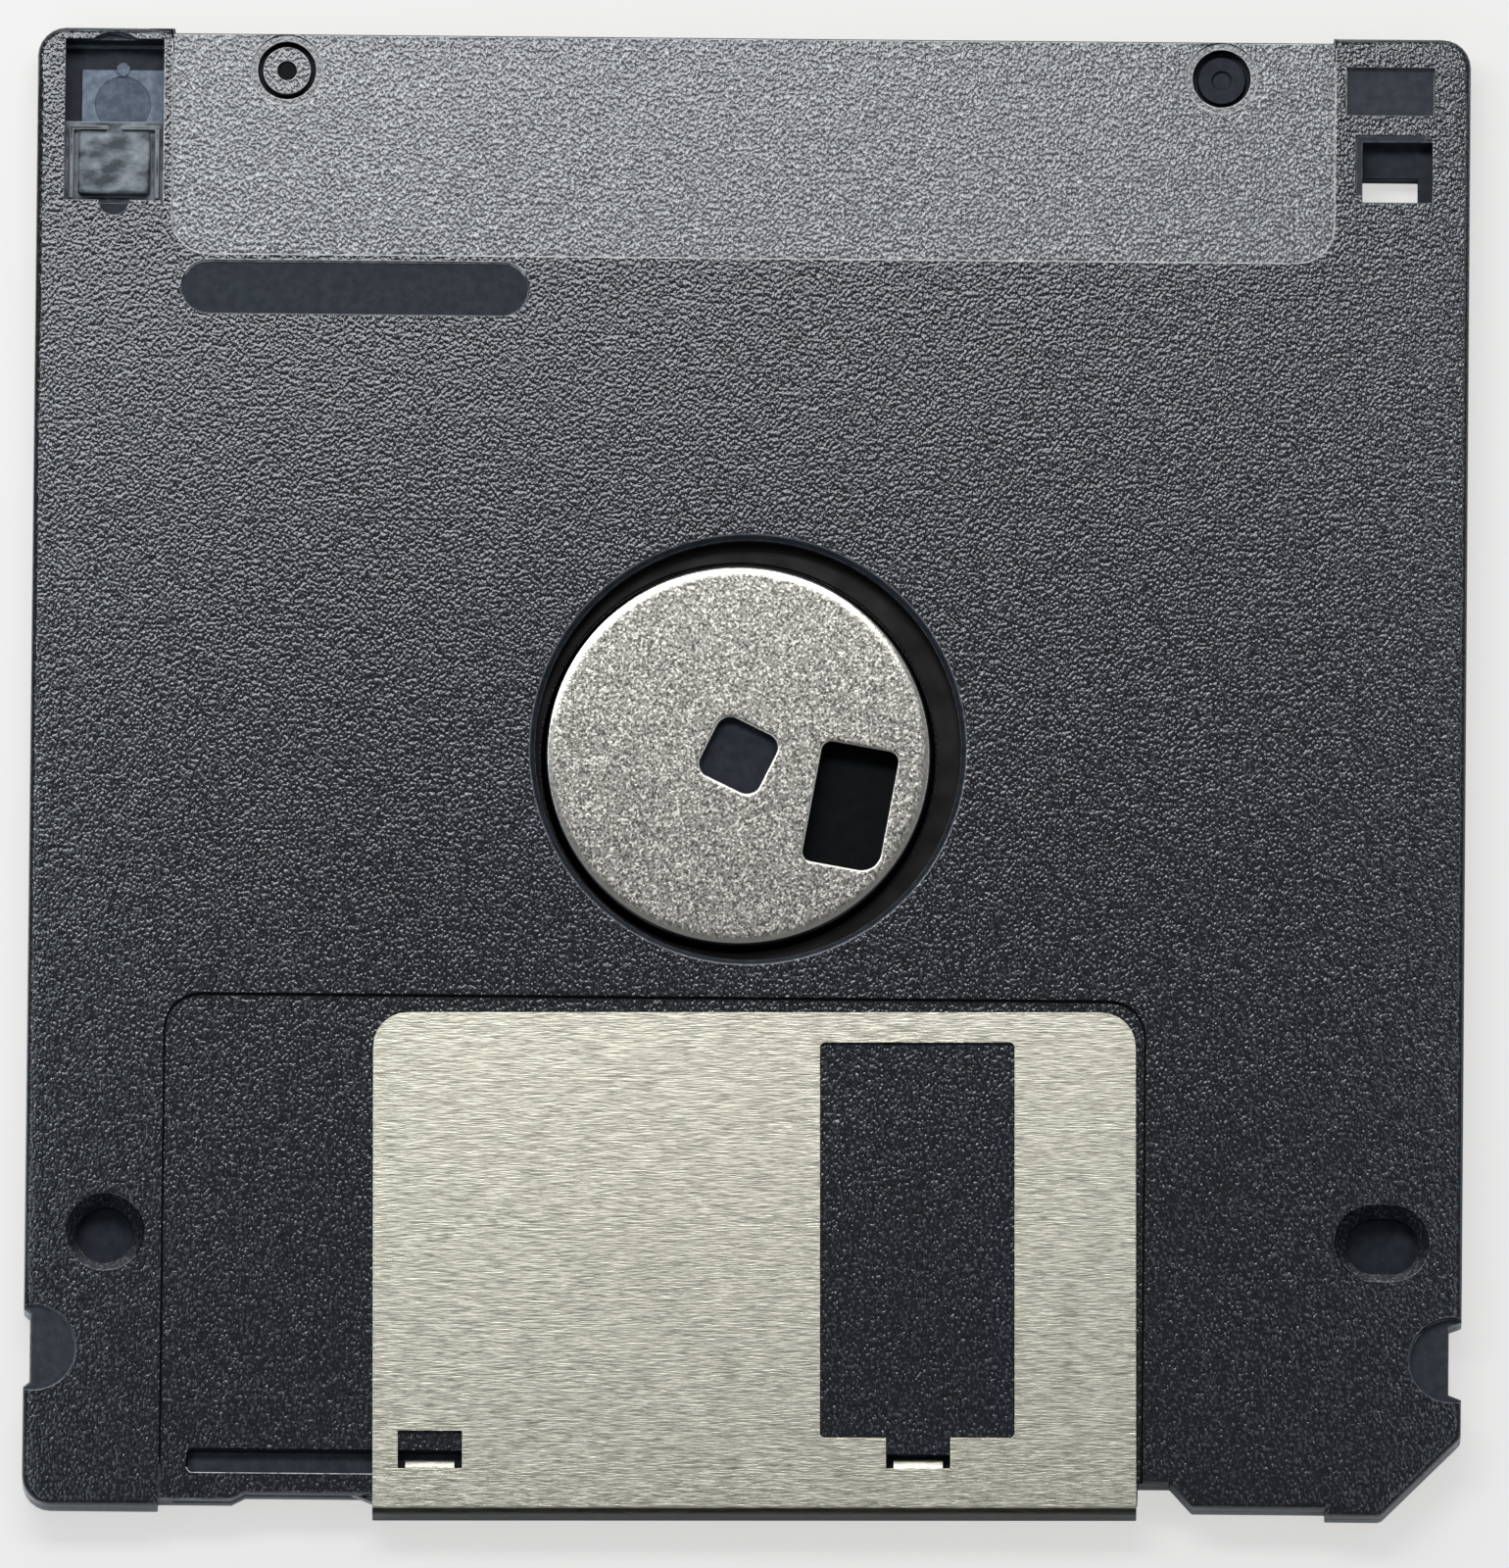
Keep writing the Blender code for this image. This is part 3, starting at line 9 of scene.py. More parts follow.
import bmesh
import bpy
import numpy as np
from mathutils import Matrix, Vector


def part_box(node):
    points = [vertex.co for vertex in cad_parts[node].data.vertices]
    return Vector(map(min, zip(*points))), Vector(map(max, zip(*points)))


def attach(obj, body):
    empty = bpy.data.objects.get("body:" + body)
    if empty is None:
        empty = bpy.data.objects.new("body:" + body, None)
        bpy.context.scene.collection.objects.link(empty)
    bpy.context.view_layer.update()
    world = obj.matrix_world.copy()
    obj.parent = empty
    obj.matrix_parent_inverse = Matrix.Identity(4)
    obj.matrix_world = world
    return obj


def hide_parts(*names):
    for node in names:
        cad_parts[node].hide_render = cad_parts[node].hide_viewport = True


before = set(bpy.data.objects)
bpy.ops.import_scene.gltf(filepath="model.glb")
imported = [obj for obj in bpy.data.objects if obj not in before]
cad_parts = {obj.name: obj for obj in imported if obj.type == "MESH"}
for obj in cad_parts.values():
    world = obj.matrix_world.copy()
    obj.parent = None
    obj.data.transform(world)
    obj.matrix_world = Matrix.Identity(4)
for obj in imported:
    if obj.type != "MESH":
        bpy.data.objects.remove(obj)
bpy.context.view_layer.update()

MM = 0.001
DEGREE = math.pi / 180.0

# Front shell: the half of the case with the label side, moulded in black ABS. It lies on the table,
# and carries the weld pins, the boss in the middle of the hub and the slider's pocket. The floor
# round the boss under the disk and the left pin's dimple are painted near black as painted shade,
# and the stand in the slider's pocket is painted pale as painted light.
FRONT_EDGE = 0.06 * MM
EDGE_STEPS = 2
MERGE_DISTANCE = 0.002 * MM
FLAT_ANGLE = 1.0 * DEGREE
SHARP_ANGLE = 35.0 * DEGREE
CELL = 3.1 * MM
CELL_START = -47.3 * MM
CELL_COUNT = 31
TINY = 1e-15
UPWARD = 0.9
STEEP = 0.95
NOISE_RANGE = (0.3, 0.7)
SIDE_WALLS = 43.4 * MM
REAR_WALL = 46.3 * MM
SHUTTER_WALL = -44.7 * MM
OUTSIDE_TOP = 0.5 * MM
CORNER_RIGHT = -34.0 * MM
CORNER_BOTTOM = 30.0 * MM
CAVITY_MIDDLE = 1.5 * MM
CAVITY_FLOOR = 0.9 * MM
CAVITY_RADII = (3.6 * MM, 43.0 * MM)
STAND_HEIGHTS = (1.0 * MM, 1.4 * MM)
MARK_TOP = 1.15 * MM
LEFT_PIN = (-29.35 * MM, 44.62 * MM)
PIN_RADIUS = 1.7 * MM
PIN_FROM = 2.0 * MM
DIMPLE_RADIUS = 0.62 * MM
WALL_GRAIN = 0.4
LEFT_PIN_GRAIN = 0.8
LEFT_PIN_PALE = 0.7
GRAIN_SIZE = 0.25
GRAIN_GLINTING = 0.5
GRAIN_SQUEEZE = 1.4
GRAIN_BUMP = 0.056 * MM
# Painted glints and painted shade of the grain: the height where the pale flecks start, how far
# that height drops for each unit of the group's second input, the flecks' width, and the heights
# over which the pits darken.
GLINTS_FROM = 0.66
GLINTS_SHIFT = 0.2
GLINTS_WIDTH = 0.10
PIT_SHADE_RANGE = (0.46, 0.34)
PATCH_SCALE = 0.03
PATCH_LEAST = 0.7
# Rounded edges painted paler, partly as wear from handling and partly as a painted highlight: the
# size of their patches, the noise range, and the least share.
WEAR_AND_HIGHLIGHT_SIZE = 0.5 * MM
WEAR_AND_HIGHLIGHT_RANGE = (0.35, 0.65)
WEAR_AND_HIGHLIGHT_LEAST = 0.3
DUST_SIZE = 0.6 * MM
DUST_RANGE = (0.38, 0.68)
FACE_ROUGHNESS = (0.12, 0.11)
HEIGHT_ROUGHNESS = 0.06
BLACK_TINT = (0.94, 0.97, 1.0, 1.0)
SMOOTH_TINT = (0.84, 0.93, 1.0, 1.0)
# Tones of the black plastic at paleness 0 and 1: the plastic itself, its painted glints, its
# painted shade in the pits, and its rounded edges, which are paler partly from wear and partly as a
# painted highlight.
BLACK_TONES = (((0.0060, 0.0072, 0.0098), (0.068, 0.071, 0.076)),
               ((0.043, 0.048, 0.056), (0.305, 0.310, 0.318)),
               ((0.001, 0.001, 0.0015), (0.022, 0.023, 0.026)),
               ((0.085, 0.092, 0.102), (0.46, 0.47, 0.47)))
FRONT_SMOOTH = ((0.009, 0.011, 0.016), (0.018, 0.020, 0.027))
# Painted light: the stand in the slider's pocket and the round mark on it are pale blue-grey, as
# where the lamps light them.
FRONT_STAND_LIT = ((0.085, 0.105, 0.142), (0.165, 0.195, 0.243))
# Painted shade: near black for the floor round the boss under the disk and for the left pin's
# dimple.
FRONT_INSIDE_SHADE = ((0.0012, 0.0012, 0.0016), (0.0030, 0.0030, 0.0036), 0.05)
FRONT_MARK_LIT = ((0.050, 0.064, 0.090), (0.090, 0.112, 0.147))


def merged_copy(node, name):
    """The CAD node's loose triangles as one mesh: points within a hair of each other are
    merged, triangles in one plane are joined, and wide faces are cut into small cells, so that
    the edges can be rounded without long slivers."""
    piece = bpy.data.objects.new(name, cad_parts[node].data.copy())
    bpy.context.scene.collection.objects.link(piece)
    shape = bmesh.new()
    shape.from_mesh(piece.data)
    bmesh.ops.remove_doubles(shape, verts=shape.verts, dist=MERGE_DISTANCE)
    bmesh.ops.dissolve_limit(shape, angle_limit=FLAT_ANGLE, verts=shape.verts, edges=shape.edges)
    for across in ((1.0, 0.0, 0.0), (0.0, 1.0, 0.0)):
        for step in range(CELL_COUNT):
            place = [(CELL_START + step * CELL) * share for share in across]
            bmesh.ops.bisect_plane(shape, geom=[*shape.verts, *shape.edges, *shape.faces],
                                   dist=MERGE_DISTANCE / 2, plane_co=place, plane_no=across)
    bmesh.ops.triangulate(shape, faces=[face for face in shape.faces if len(face.verts) > 4])
    shape.to_mesh(piece.data)
    shape.free()
    piece.data.materials.clear()
    return piece


def face_centres(piece):
    """The middle and the normal of every face, as two arrays."""
    faces = piece.data.polygons
    centres = np.empty(len(faces) * 3)
    normals = np.empty(len(faces) * 3)
    faces.foreach_get("center", centres)
    faces.foreach_get("normal", normals)
    return centres.reshape(-1, 3), normals.reshape(-1, 3)


def outer_walls(centres, normals):
    """Which faces stand on the outside of the case, on any of its four sides."""
    across, along = np.abs(centres[:, 0]), centres[:, 1]
    outermost = (across > SIDE_WALLS) | (along > REAR_WALL) | (along < SHUTTER_WALL)
    return (np.abs(normals[:, 2]) < STEEP) & outermost


def face_value(piece, name, values):
    """Keeps one number per face of the piece for its material to read."""
    layer = piece.data.attributes.new(name, "FLOAT", "FACE")
    layer.data.foreach_set("value", np.asarray(values, dtype=np.float32))


def shade_from_flats(mesh, strip, angle):
    """Sets a normal at every corner of every face. On a broad face it is the mean of the broad
    faces round the point that lean less than the angle away from it; on a rounded strip it is
    that of the broad faces it meets there, or of the strips where it meets none."""
    count = len(mesh.loops)
    point = np.empty(count, dtype=np.int32)
    mesh.loops.foreach_get("vertex_index", point)
    sides = np.empty(len(mesh.polygons), dtype=np.int32)
    mesh.polygons.foreach_get("loop_total", sides)
    area = np.empty(len(mesh.polygons))
    mesh.polygons.foreach_get("area", area)
    lean = np.empty(len(mesh.polygons) * 3)
    mesh.polygons.foreach_get("normal", lean)
    lean = lean.reshape(-1, 3)
    face = np.repeat(np.arange(len(sides)), sides)
    order = np.argsort(point, kind="stable")
    from_flats = np.where(strip[face], 0.0, area[face])[:, None] * lean[face]
    from_strips = np.where(strip[face], 1.0, 0.0)[:, None] * lean[face]
    most = np.bincount(point).max()
    for shift in range(1, most):
        here, there = order[:-shift], order[shift:]
        meet = point[here] == point[there]
        here, there = here[meet], there[meet]
        for own, other in ((here, there), (there, here)):
            near = (lean[face[own]] * lean[face[other]]).sum(axis=1) > math.cos(angle)
            joined = ~strip[face[other]] & (near | strip[face[own]])
            from_flats[own] += np.where(joined, area[face[other]], 0.0)[:, None] * lean[face[other]]
            beside = strip[face[other]] & strip[face[own]]
            from_strips[own] += beside[:, None] * lean[face[other]]
    bare = np.linalg.norm(from_flats, axis=1) < TINY
    normals = np.where(bare[:, None], from_strips, from_flats)
    normals /= np.maximum(np.linalg.norm(normals, axis=1), TINY)[:, None]
    mesh.polygons.foreach_set("use_smooth", np.ones(len(sides), dtype=bool))
    mesh.normals_split_custom_set(normals)


def round_edges(piece, width):
    """Rounds every sharp edge, keeps the result inside the box that the piece had, and shades
    it smooth over the rounded strips, which come out of the bevel with a material index of
    their own. The face value edge is 1 on the strips."""
    corners = np.array([corner[:] for corner in piece.bound_box])
    for _ in range(2):
        piece.data.materials.append(None)
    bevel = piece.modifiers.new("edge rounding", "BEVEL")
    bevel.material = 1
    bevel.width = width
    bevel.segments = EDGE_STEPS
    bevel.limit_method = "ANGLE"
    bevel.angle_limit = SHARP_ANGLE
    bevel.use_clamp_overlap = False
    rounded = bpy.data.meshes.new_from_object(
        piece.evaluated_get(bpy.context.evaluated_depsgraph_get()))
    piece.modifiers.clear()
    piece.data = rounded
    places = np.empty(len(rounded.vertices) * 3)
    rounded.vertices.foreach_get("co", places)
    places = np.clip(places.reshape(-1, 3), corners.min(axis=0), corners.max(axis=0))
    rounded.vertices.foreach_set("co", places.ravel())
    strips = np.empty(len(rounded.polygons), dtype=np.int32)
    rounded.polygons.foreach_get("material_index", strips)
    rounded.polygons.foreach_set("material_index", np.zeros_like(strips))
    rounded.materials.clear()
    face_value(piece, "edge", strips)
    shade_from_flats(rounded, strips == 1, SHARP_ANGLE)
    return piece


def add(tree, kind, values=None, **settings):
    """A node of that kind: settings are the node's own choices, and values go to its inputs,
    as a number, a colour or a socket to join."""
    node = tree.nodes.new(kind)
    for key, value in settings.items():
        setattr(node, key, value)
    for key, value in (values or {}).items():
        socket = node.inputs[key]
        if isinstance(value, bpy.types.NodeSocket):
            tree.links.new(value, socket)
        elif socket.type == "RGBA":
            socket.default_value = (*value, 1.0)
        else:
            socket.default_value = value
    return node


def join(tree, node, **sockets):
    """Joins sockets to the node's inputs; underscores stand for spaces."""
    for key, socket in sockets.items():
        tree.links.new(socket, node.inputs[key.replace("_", " ")])


def blend_colours(tree, share, first, second):
    """First colour where the share is 0, second where it is 1."""
    node = add(tree, "ShaderNodeMix", {0: share}, data_type="RGBA")
    for index, colour in ((6, first), (7, second)):
        if isinstance(colour, bpy.types.NodeSocket):
            tree.links.new(colour, node.inputs[index])
        else:
            node.inputs[index].default_value = (*colour, 1.0)
    return node.outputs[2]


def spread(tree, value, low, high, first=0.0, second=1.0):
    """Value stretched so that low becomes first and high becomes second, and cut off there."""
    node = add(tree, "ShaderNodeMapRange", {
        "Value": value, "From Min": low, "From Max": high, "To Min": first, "To Max": second})
    return node.outputs["Result"]


def calculate(tree, operation, first, second=0.0):
    """One sum of two values."""
    return add(tree, "ShaderNodeMath", {0: first, 1: second}, operation=operation).outputs[0]


def new_group(name, inputs, outputs):
    """A shader node group with number inputs and number outputs, and its two end nodes."""
    tree = bpy.data.node_groups.new(name, "ShaderNodeTree")
    for label, value in inputs.items():
        socket = tree.interface.new_socket(label, in_out="INPUT", socket_type="NodeSocketFloat")
        socket.default_value = value
    for label in outputs:
        tree.interface.new_socket(label, in_out="OUTPUT", socket_type="NodeSocketFloat")
    return tree, tree.nodes.new("NodeGroupInput"), tree.nodes.new("NodeGroupOutput")


def use_group(tree, group, **values):
    """The group as a node, with its inputs set to numbers; underscores stand for spaces."""
    node = add(tree, "ShaderNodeGroup", node_tree=group)
    for key, value in values.items():
        node.inputs[key.replace("_", " ")].default_value = value
    return node


def face_number(tree, name):
    """The number that face_value kept under the name."""
    return add(tree, "ShaderNodeAttribute", attribute_name=name).outputs["Fac"]


def noise(tree, size, length=None, detail=2.0, rough=0.5):
    """Noise on the piece's own coordinates, with lumps of the given size, and of the length
    along X where one is given."""
    place = add(tree, "ShaderNodeTexCoord").outputs["Object"]
    scaled = add(tree, "ShaderNodeMapping", {
        "Vector": place, "Scale": (1.0 / (length or size), 1.0 / size, 1.0 / size)})
    return add(tree, "ShaderNodeTexNoise", {
        "Vector": scaled.outputs[0], "Scale": 1.0, "Detail": detail, "Roughness": rough})


def moulded_grain_group():
    """The pitted texture of a spark-eroded mould: lumps for the bump, painted glints, which are
    pale flecks on the tops of the lumps where they would catch the light, and painted shade, which
    is dark pits between them. All come from one noise of the grain's size, pressed together a
    little along X, and a much broader noise gives patches."""
    tree, start, end = new_group(
        "moulded grain", {"Grain Size": GRAIN_SIZE, "Rubbed": GRAIN_GLINTING},
        ("Height", "Flecks", "Pits", "Patches"))
    place = add(tree, "ShaderNodeMapping", {
        "Vector": add(tree, "ShaderNodeTexCoord").outputs["Object"],
        "Scale": (GRAIN_SQUEEZE / MM, 1.0 / MM, 1.0 / MM)}).outputs[0]
    size = calculate(tree, "DIVIDE", 1.0, start.outputs["Grain Size"])
    scaled = add(tree, "ShaderNodeVectorMath", {0: place, "Scale": size}, operation="SCALE")
    lumps = add(tree, "ShaderNodeTexNoise", {
        "Vector": scaled.outputs[0], "Scale": 1.0, "Detail": 1.0, "Roughness": 0.5})
    broad = add(tree, "ShaderNodeTexNoise", {
        "Vector": scaled.outputs[0], "Scale": PATCH_SCALE, "Detail": 2.0, "Roughness": 0.6})
    level = calculate(tree, "SUBTRACT", GLINTS_FROM, calculate(
        tree, "MULTIPLY", start.outputs["Rubbed"], GLINTS_SHIFT))
    top = calculate(tree, "ADD", level, GLINTS_WIDTH)
    height = lumps.outputs["Fac"]
    join(tree, end, Height=height, Flecks=spread(tree, height, level, top),
         Pits=spread(tree, height, *PIT_SHADE_RANGE),
         Patches=spread(tree, broad.outputs["Fac"], *NOISE_RANGE))
    return tree


moulded_grain = moulded_grain_group()


def new_material(name, **settings):
    """A material with its Principled shader; settings are numbers for the shader's sockets."""
    finish = bpy.data.materials.new(name)
    finish.use_nodes = True
    shader = finish.node_tree.nodes["Principled BSDF"]
    for key, value in settings.items():
        shader.inputs[key.replace("_", " ")].default_value = value
    return finish, finish.node_tree, shader


def black_plastic(name):
    """Black ABS from a spark-eroded mould. The face values are grain, which is 1 on the pitted
    outside and 0 on smooth walls and pockets. Pale is 1 where the label's bed is greyer, and it is
    also set where lips carry a painted highlight and where pit walls are painted light. Edge is 1
    on rounded edges, which are painted paler, partly as wear from handling and partly as a painted
    highlight. The tones are those of the plastic, of its painted glints, of its painted shade in
    the pits and of the paler edges, each for the face value pale at 0 and at 1."""
    finish, tree, shader = new_material(name, Specular_IOR_Level=0.5, Specular_Tint=BLACK_TINT)
    grain, pale, edge = [face_number(tree, label) for label in ("grain", "pale", "edge")]
    plastic, glints, pit_shade, rubbed_and_highlit = [blend_colours(tree, pale, *tones) for tones in BLACK_TONES]
    lumps = use_group(tree, moulded_grain, Grain_Size=GRAIN_SIZE, Rubbed=GRAIN_GLINTING)
    height = lumps.outputs["Height"]
    strength = calculate(tree, "MULTIPLY", grain, spread(
        tree, lumps.outputs["Patches"], 0.0, 1.0, PATCH_LEAST, 1.0))
    tone = blend_colours(
        tree, calculate(tree, "MULTIPLY", lumps.outputs["Flecks"], strength), plastic, glints)
    tone = blend_colours(
        tree, calculate(tree, "MULTIPLY", lumps.outputs["Pits"], strength), tone, pit_shade)
    # Rounded edges are painted paler, partly as wear and partly as a painted highlight.
    wear_and_highlight_noise = noise(tree, WEAR_AND_HIGHLIGHT_SIZE).outputs["Fac"]
    wear_and_highlight = calculate(tree, "MULTIPLY", edge, spread(tree, wear_and_highlight_noise, *WEAR_AND_HIGHLIGHT_RANGE, WEAR_AND_HIGHLIGHT_LEAST, 1.0))
    rough = calculate(tree, "ADD", spread(tree, grain, 0.0, 1.0, *FACE_ROUGHNESS),
                      calculate(tree, "MULTIPLY", height, HEIGHT_ROUGHNESS))
    bump = add(tree, "ShaderNodeBump", {
        "Height": calculate(tree, "MULTIPLY", height, grain), "Distance": GRAIN_BUMP})
    join(tree, shader, Base_Color=blend_colours(tree, wear_and_highlight, tone, rubbed_and_highlit), Roughness=rough,
         Normal=bump.outputs["Normal"])
    return finish


def smooth_plastic(name, dark, light, gloss=0.10):
    """ABS from a smooth part of the mould, in pockets and on walls: it shows no grain, only faint
    cloudy patches of dust between a dark and a light tone. Some of its uses take tones of painted
    shade and others tones of painted light."""
    finish, tree, shader = new_material(
        name, Specular_IOR_Level=gloss, Specular_Tint=SMOOTH_TINT, Roughness=0.45)
    dust = noise(tree, DUST_SIZE, detail=4.0, rough=0.6).outputs["Fac"]
    join(tree, shader, Base_Color=blend_colours(
        tree, spread(tree, dust, *DUST_RANGE), dark, light))
    return finish


front_shell = round_edges(merged_copy("front_shell", "case_front_half"), FRONT_EDGE)
centres, normals = face_centres(front_shell)
outside_face = (centres[:, 2] < OUTSIDE_TOP) & (normals[:, 2] < UPWARD)
on_outer_wall = outer_walls(centres, normals)
in_corner = (centres[:, 0] < CORNER_RIGHT) & (centres[:, 1] > CORNER_BOTTOM)
from_axis = np.hypot(centres[:, 0], centres[:, 1] - CAVITY_MIDDLE)
in_cavity = ((from_axis > CAVITY_RADII[0]) & (from_axis < CAVITY_RADII[1])
             & (centres[:, 2] > CAVITY_FLOOR))
on_stand = (in_corner & (centres[:, 2] > STAND_HEIGHTS[0]) & (centres[:, 2] < STAND_HEIGHTS[1]))
on_mark = on_stand & (centres[:, 2] < MARK_TOP)
from_pin = np.hypot(centres[:, 0] - LEFT_PIN[0], centres[:, 1] - LEFT_PIN[1])
on_left_pin = ((from_pin > DIMPLE_RADIUS) & (from_pin < PIN_RADIUS)
               & (centres[:, 2] > PIN_FROM))
in_dimple = (from_pin < DIMPLE_RADIUS) & (centres[:, 2] > PIN_FROM)
face_value(front_shell, "grain", np.select(
    [on_outer_wall, outside_face, on_left_pin], [WALL_GRAIN, 1.0, LEFT_PIN_GRAIN], 0.0))
face_value(front_shell, "pale", np.where(on_left_pin, LEFT_PIN_PALE, 0.0))
for finish in (black_plastic("black ABS, label side"),
               smooth_plastic("black ABS, smooth, label side", *FRONT_SMOOTH),
               smooth_plastic("black ABS, stand", *FRONT_STAND_LIT),
               smooth_plastic("black ABS, inside", *FRONT_INSIDE_SHADE),
               smooth_plastic("black ABS, mark", *FRONT_MARK_LIT)):
    front_shell.data.materials.append(finish)
front_shell.data.polygons.foreach_set("material_index", np.select(
    [outside_face | on_outer_wall | on_left_pin, on_mark, on_stand, in_cavity | in_dimple],
    [0, 4, 2, 3], 1).astype(np.int32))
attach(front_shell, "case")
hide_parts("front_shell")

# Liners: rings of white non-woven fabric bonded inside both shells, which wipe the disk.
# The fibres mostly run along X, as they left the machine that laid them.
FIBRE_SIZE = 0.05 * MM
FIBRE_LENGTH = 0.4 * MM
FIBRE_BUMP = 0.03 * MM
FIBRE_TONES = ((0.70, 0.70, 0.68), (0.86, 0.86, 0.84))


def dress(node, finish):
    """Gives a CAD node that is shown as it is its one material."""
    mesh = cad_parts[node].data
    mesh.materials.clear()
    mesh.materials.append(finish)


for node, finish_name in (("back_liner", "liner fabric, hub side"),
                          ("front_liner", "liner fabric, label side")):
    liner_finish, tree, shader = new_material(finish_name, Roughness=0.95)
    fibres = noise(tree, FIBRE_SIZE, FIBRE_LENGTH, detail=3.0).outputs["Fac"]
    bump = add(tree, "ShaderNodeBump", {"Height": fibres, "Distance": FIBRE_BUMP})
    join(tree, shader, Base_Color=blend_colours(tree, fibres, *FIBRE_TONES),
         Normal=bump.outputs["Normal"])
    dress(node, liner_finish)

# Lifter: a leaf of springy polyester film under the front liner, which presses it to the disk.
# It is cut from pale grey sheet.
LIFTER_HAZE = 0.8 * MM
LIFTER_TONES = ((0.55, 0.57, 0.58), (0.66, 0.68, 0.70))
lifter_finish, tree, shader = new_material("lifter film", Roughness=0.3)
haze = noise(tree, LIFTER_HAZE).outputs["Fac"]
join(tree, shader, Base_Color=blend_colours(tree, haze, *LIFTER_TONES))
dress("liner_lifter", lifter_finish)

# Spring: hard drawn steel wire, wound into two turns with two legs, that closes the shutter. It
# sits loose in its pocket.
DRAWN_SIZE = 0.03 * MM
DRAWN_TONES = ((0.42, 0.42, 0.43), (0.60, 0.60, 0.60))
DRAWN_ROUGHNESS = (0.22, 0.38)
spring_finish, tree, shader = new_material("drawn spring wire", Metallic=1.0)
drawn = noise(tree, DRAWN_SIZE).outputs["Fac"]
join(tree, shader, Base_Color=blend_colours(tree, drawn, *DRAWN_TONES),
     Roughness=spread(tree, drawn, *NOISE_RANGE, *DRAWN_ROUGHNESS))
dress("shutter_spring", spring_finish)

# Magnetic disk: polyester film with a dark brown coating, glossy and slightly burnished. It is
# bonded to the hub's flange.
COATING_HAZE = 2.0 * MM
COATING_TONES = ((0.0050, 0.0044, 0.0045), (0.0085, 0.0072, 0.0070))
COATING_ROUGHNESS = (0.16, 0.26)
film_finish, tree, shader = new_material("magnetic coating", Specular_IOR_Level=0.2)
haze = noise(tree, COATING_HAZE).outputs["Fac"]
join(tree, shader, Base_Color=blend_colours(tree, haze, *COATING_TONES),
     Roughness=spread(tree, haze, *NOISE_RANGE, *COATING_ROUGHNESS))
dress("magnetic_disk", film_finish)

# Adhesive ring: double-sided film that holds the disk on the hub's flange, punched from a
# yellowish sheet.
GLUE_HAZE = 0.5 * MM
GLUE_TONES = ((0.48, 0.43, 0.33), (0.60, 0.55, 0.45))
glue_finish, tree, shader = new_material("adhesive film", Roughness=0.5)
haze = noise(tree, GLUE_HAZE).outputs["Fac"]
join(tree, shader, Base_Color=blend_colours(tree, haze, *GLUE_TONES))
dress("hub_adhesive_ring", glue_finish)

# Hub: a cup pressed from steel sheet with a dull nickel finish, its rim rolled over, with a
# square hole for the spindle and a slot for the drive pin, both with drawn-in edges.
HUB_PLACE = (-0.6 * MM, 1.224 * MM)
HUB_FACE = 2.9 * MM
HUB_FLOOR = 1.08 * MM
HUB_SHEET = 0.3 * MM
HUB_RADIUS = 12.2 * MM
HUB_ROLL = 0.5 * MM
CROWN_START = 11.35 * MM
CROWN_RADIUS = 2.5 * MM
CROWN_ANGLE = 14.0 * DEGREE
FLANGE_RADIUS = 15.2 * MM
FLANGE_FILLET = 0.25 * MM
SQUARE_SIDE = 4.0 * MM
SQUARE_CORNERS = (0.85 * MM,) * 4
SQUARE_TURN = -26.0 * DEGREE
SQUARE_ROLL = 0.2 * MM
SLOT_SIZE = (4.8 * MM, 7.7 * MM)
SLOT_CORNERS = (0.6 * MM, 1.2 * MM, 0.6 * MM, 0.6 * MM)
SLOT_PLACE = (7.05 * MM, -3.2 * MM)
SLOT_TURN = -10.0 * DEGREE
SLOT_ROLL = 0.14 * MM
SHEET_EDGE = 0.06 * MM
FLAT_MARGIN = 0.02 * MM
HUB_STEPS = 192
HOLE_STEPS = 12
CROWN_STEPS = 6
RIM_STEPS = 7
FILLET_STEPS = 5
SHEET_EDGE_STEPS = 3
ROLLED_LEANS = (9.0 * DEGREE, 2.0 * DEGREE)
SHADE_LEAN = 18.0 * DEGREE
HUB_GRAIN = 0.20
HUB_BUMP = 0.02 * MM
HUB_ROUGHNESS = (0.26, 0.36)
ROLLED_POLISH = 0.12
HUB_TONES = ((0.215, 0.211, 0.194), (0.46, 0.452, 0.412))
HUB_PIT_SHADE = (0.10, 0.098, 0.091)
HUB_ROLLED = (0.50, 0.49, 0.46)
HUB_SHADE = (0.020, 0.020, 0.021)


def arc_rows(reach, height, radius, first, last, steps):
    """Rows of a rounded strip: (reach, height) pairs on an arc, from one angle to another. Each
    is the middle plus the radius times the angle's cosine and sine."""
    return [(reach + radius * math.cos(turn), height + radius * math.sin(turn))
            for turn in np.linspace(first, last, steps + 1)]


def hole_outline(size, corners, place, turn, growth):
    """A rounded rectangle, grown outwards by the growth, turned and moved to its place. The
    corners are rounded from the lower left on, counterclockwise."""
    points = []
    for index, (side_x, side_y) in enumerate(((-1, -1), (1, -1), (1, 1), (-1, 1))):
        radius = corners[index]
        start = math.pi * (1.0 + index / 2)
        for angle in np.linspace(start, start + math.pi / 2, HOLE_STEPS + 1):
            points.append((side_x * (size[0] / 2 - radius) + (radius + growth) * math.cos(angle),
                           side_y * (size[1] / 2 - radius) + (radius + growth) * math.sin(angle)))
    points = np.array(points)
    across = points[:, 0] * math.cos(turn) - points[:, 1] * math.sin(turn)
    along = points[:, 0] * math.sin(turn) + points[:, 1] * math.cos(turn)
    return np.column_stack((across + place[0], along + place[1]))


def add_band(shape, rows):
    """Quads between closed rows of points, each row an (outline, height) pair."""
    rings = [[shape.verts.new((x, y, height)) for x, y in outline] for outline, height in rows]
    for lower, upper in zip(rings, rings[1:]):
        for step in range(len(lower)):
            shape.faces.new((lower[step - 1], lower[step], upper[step], upper[step - 1]))


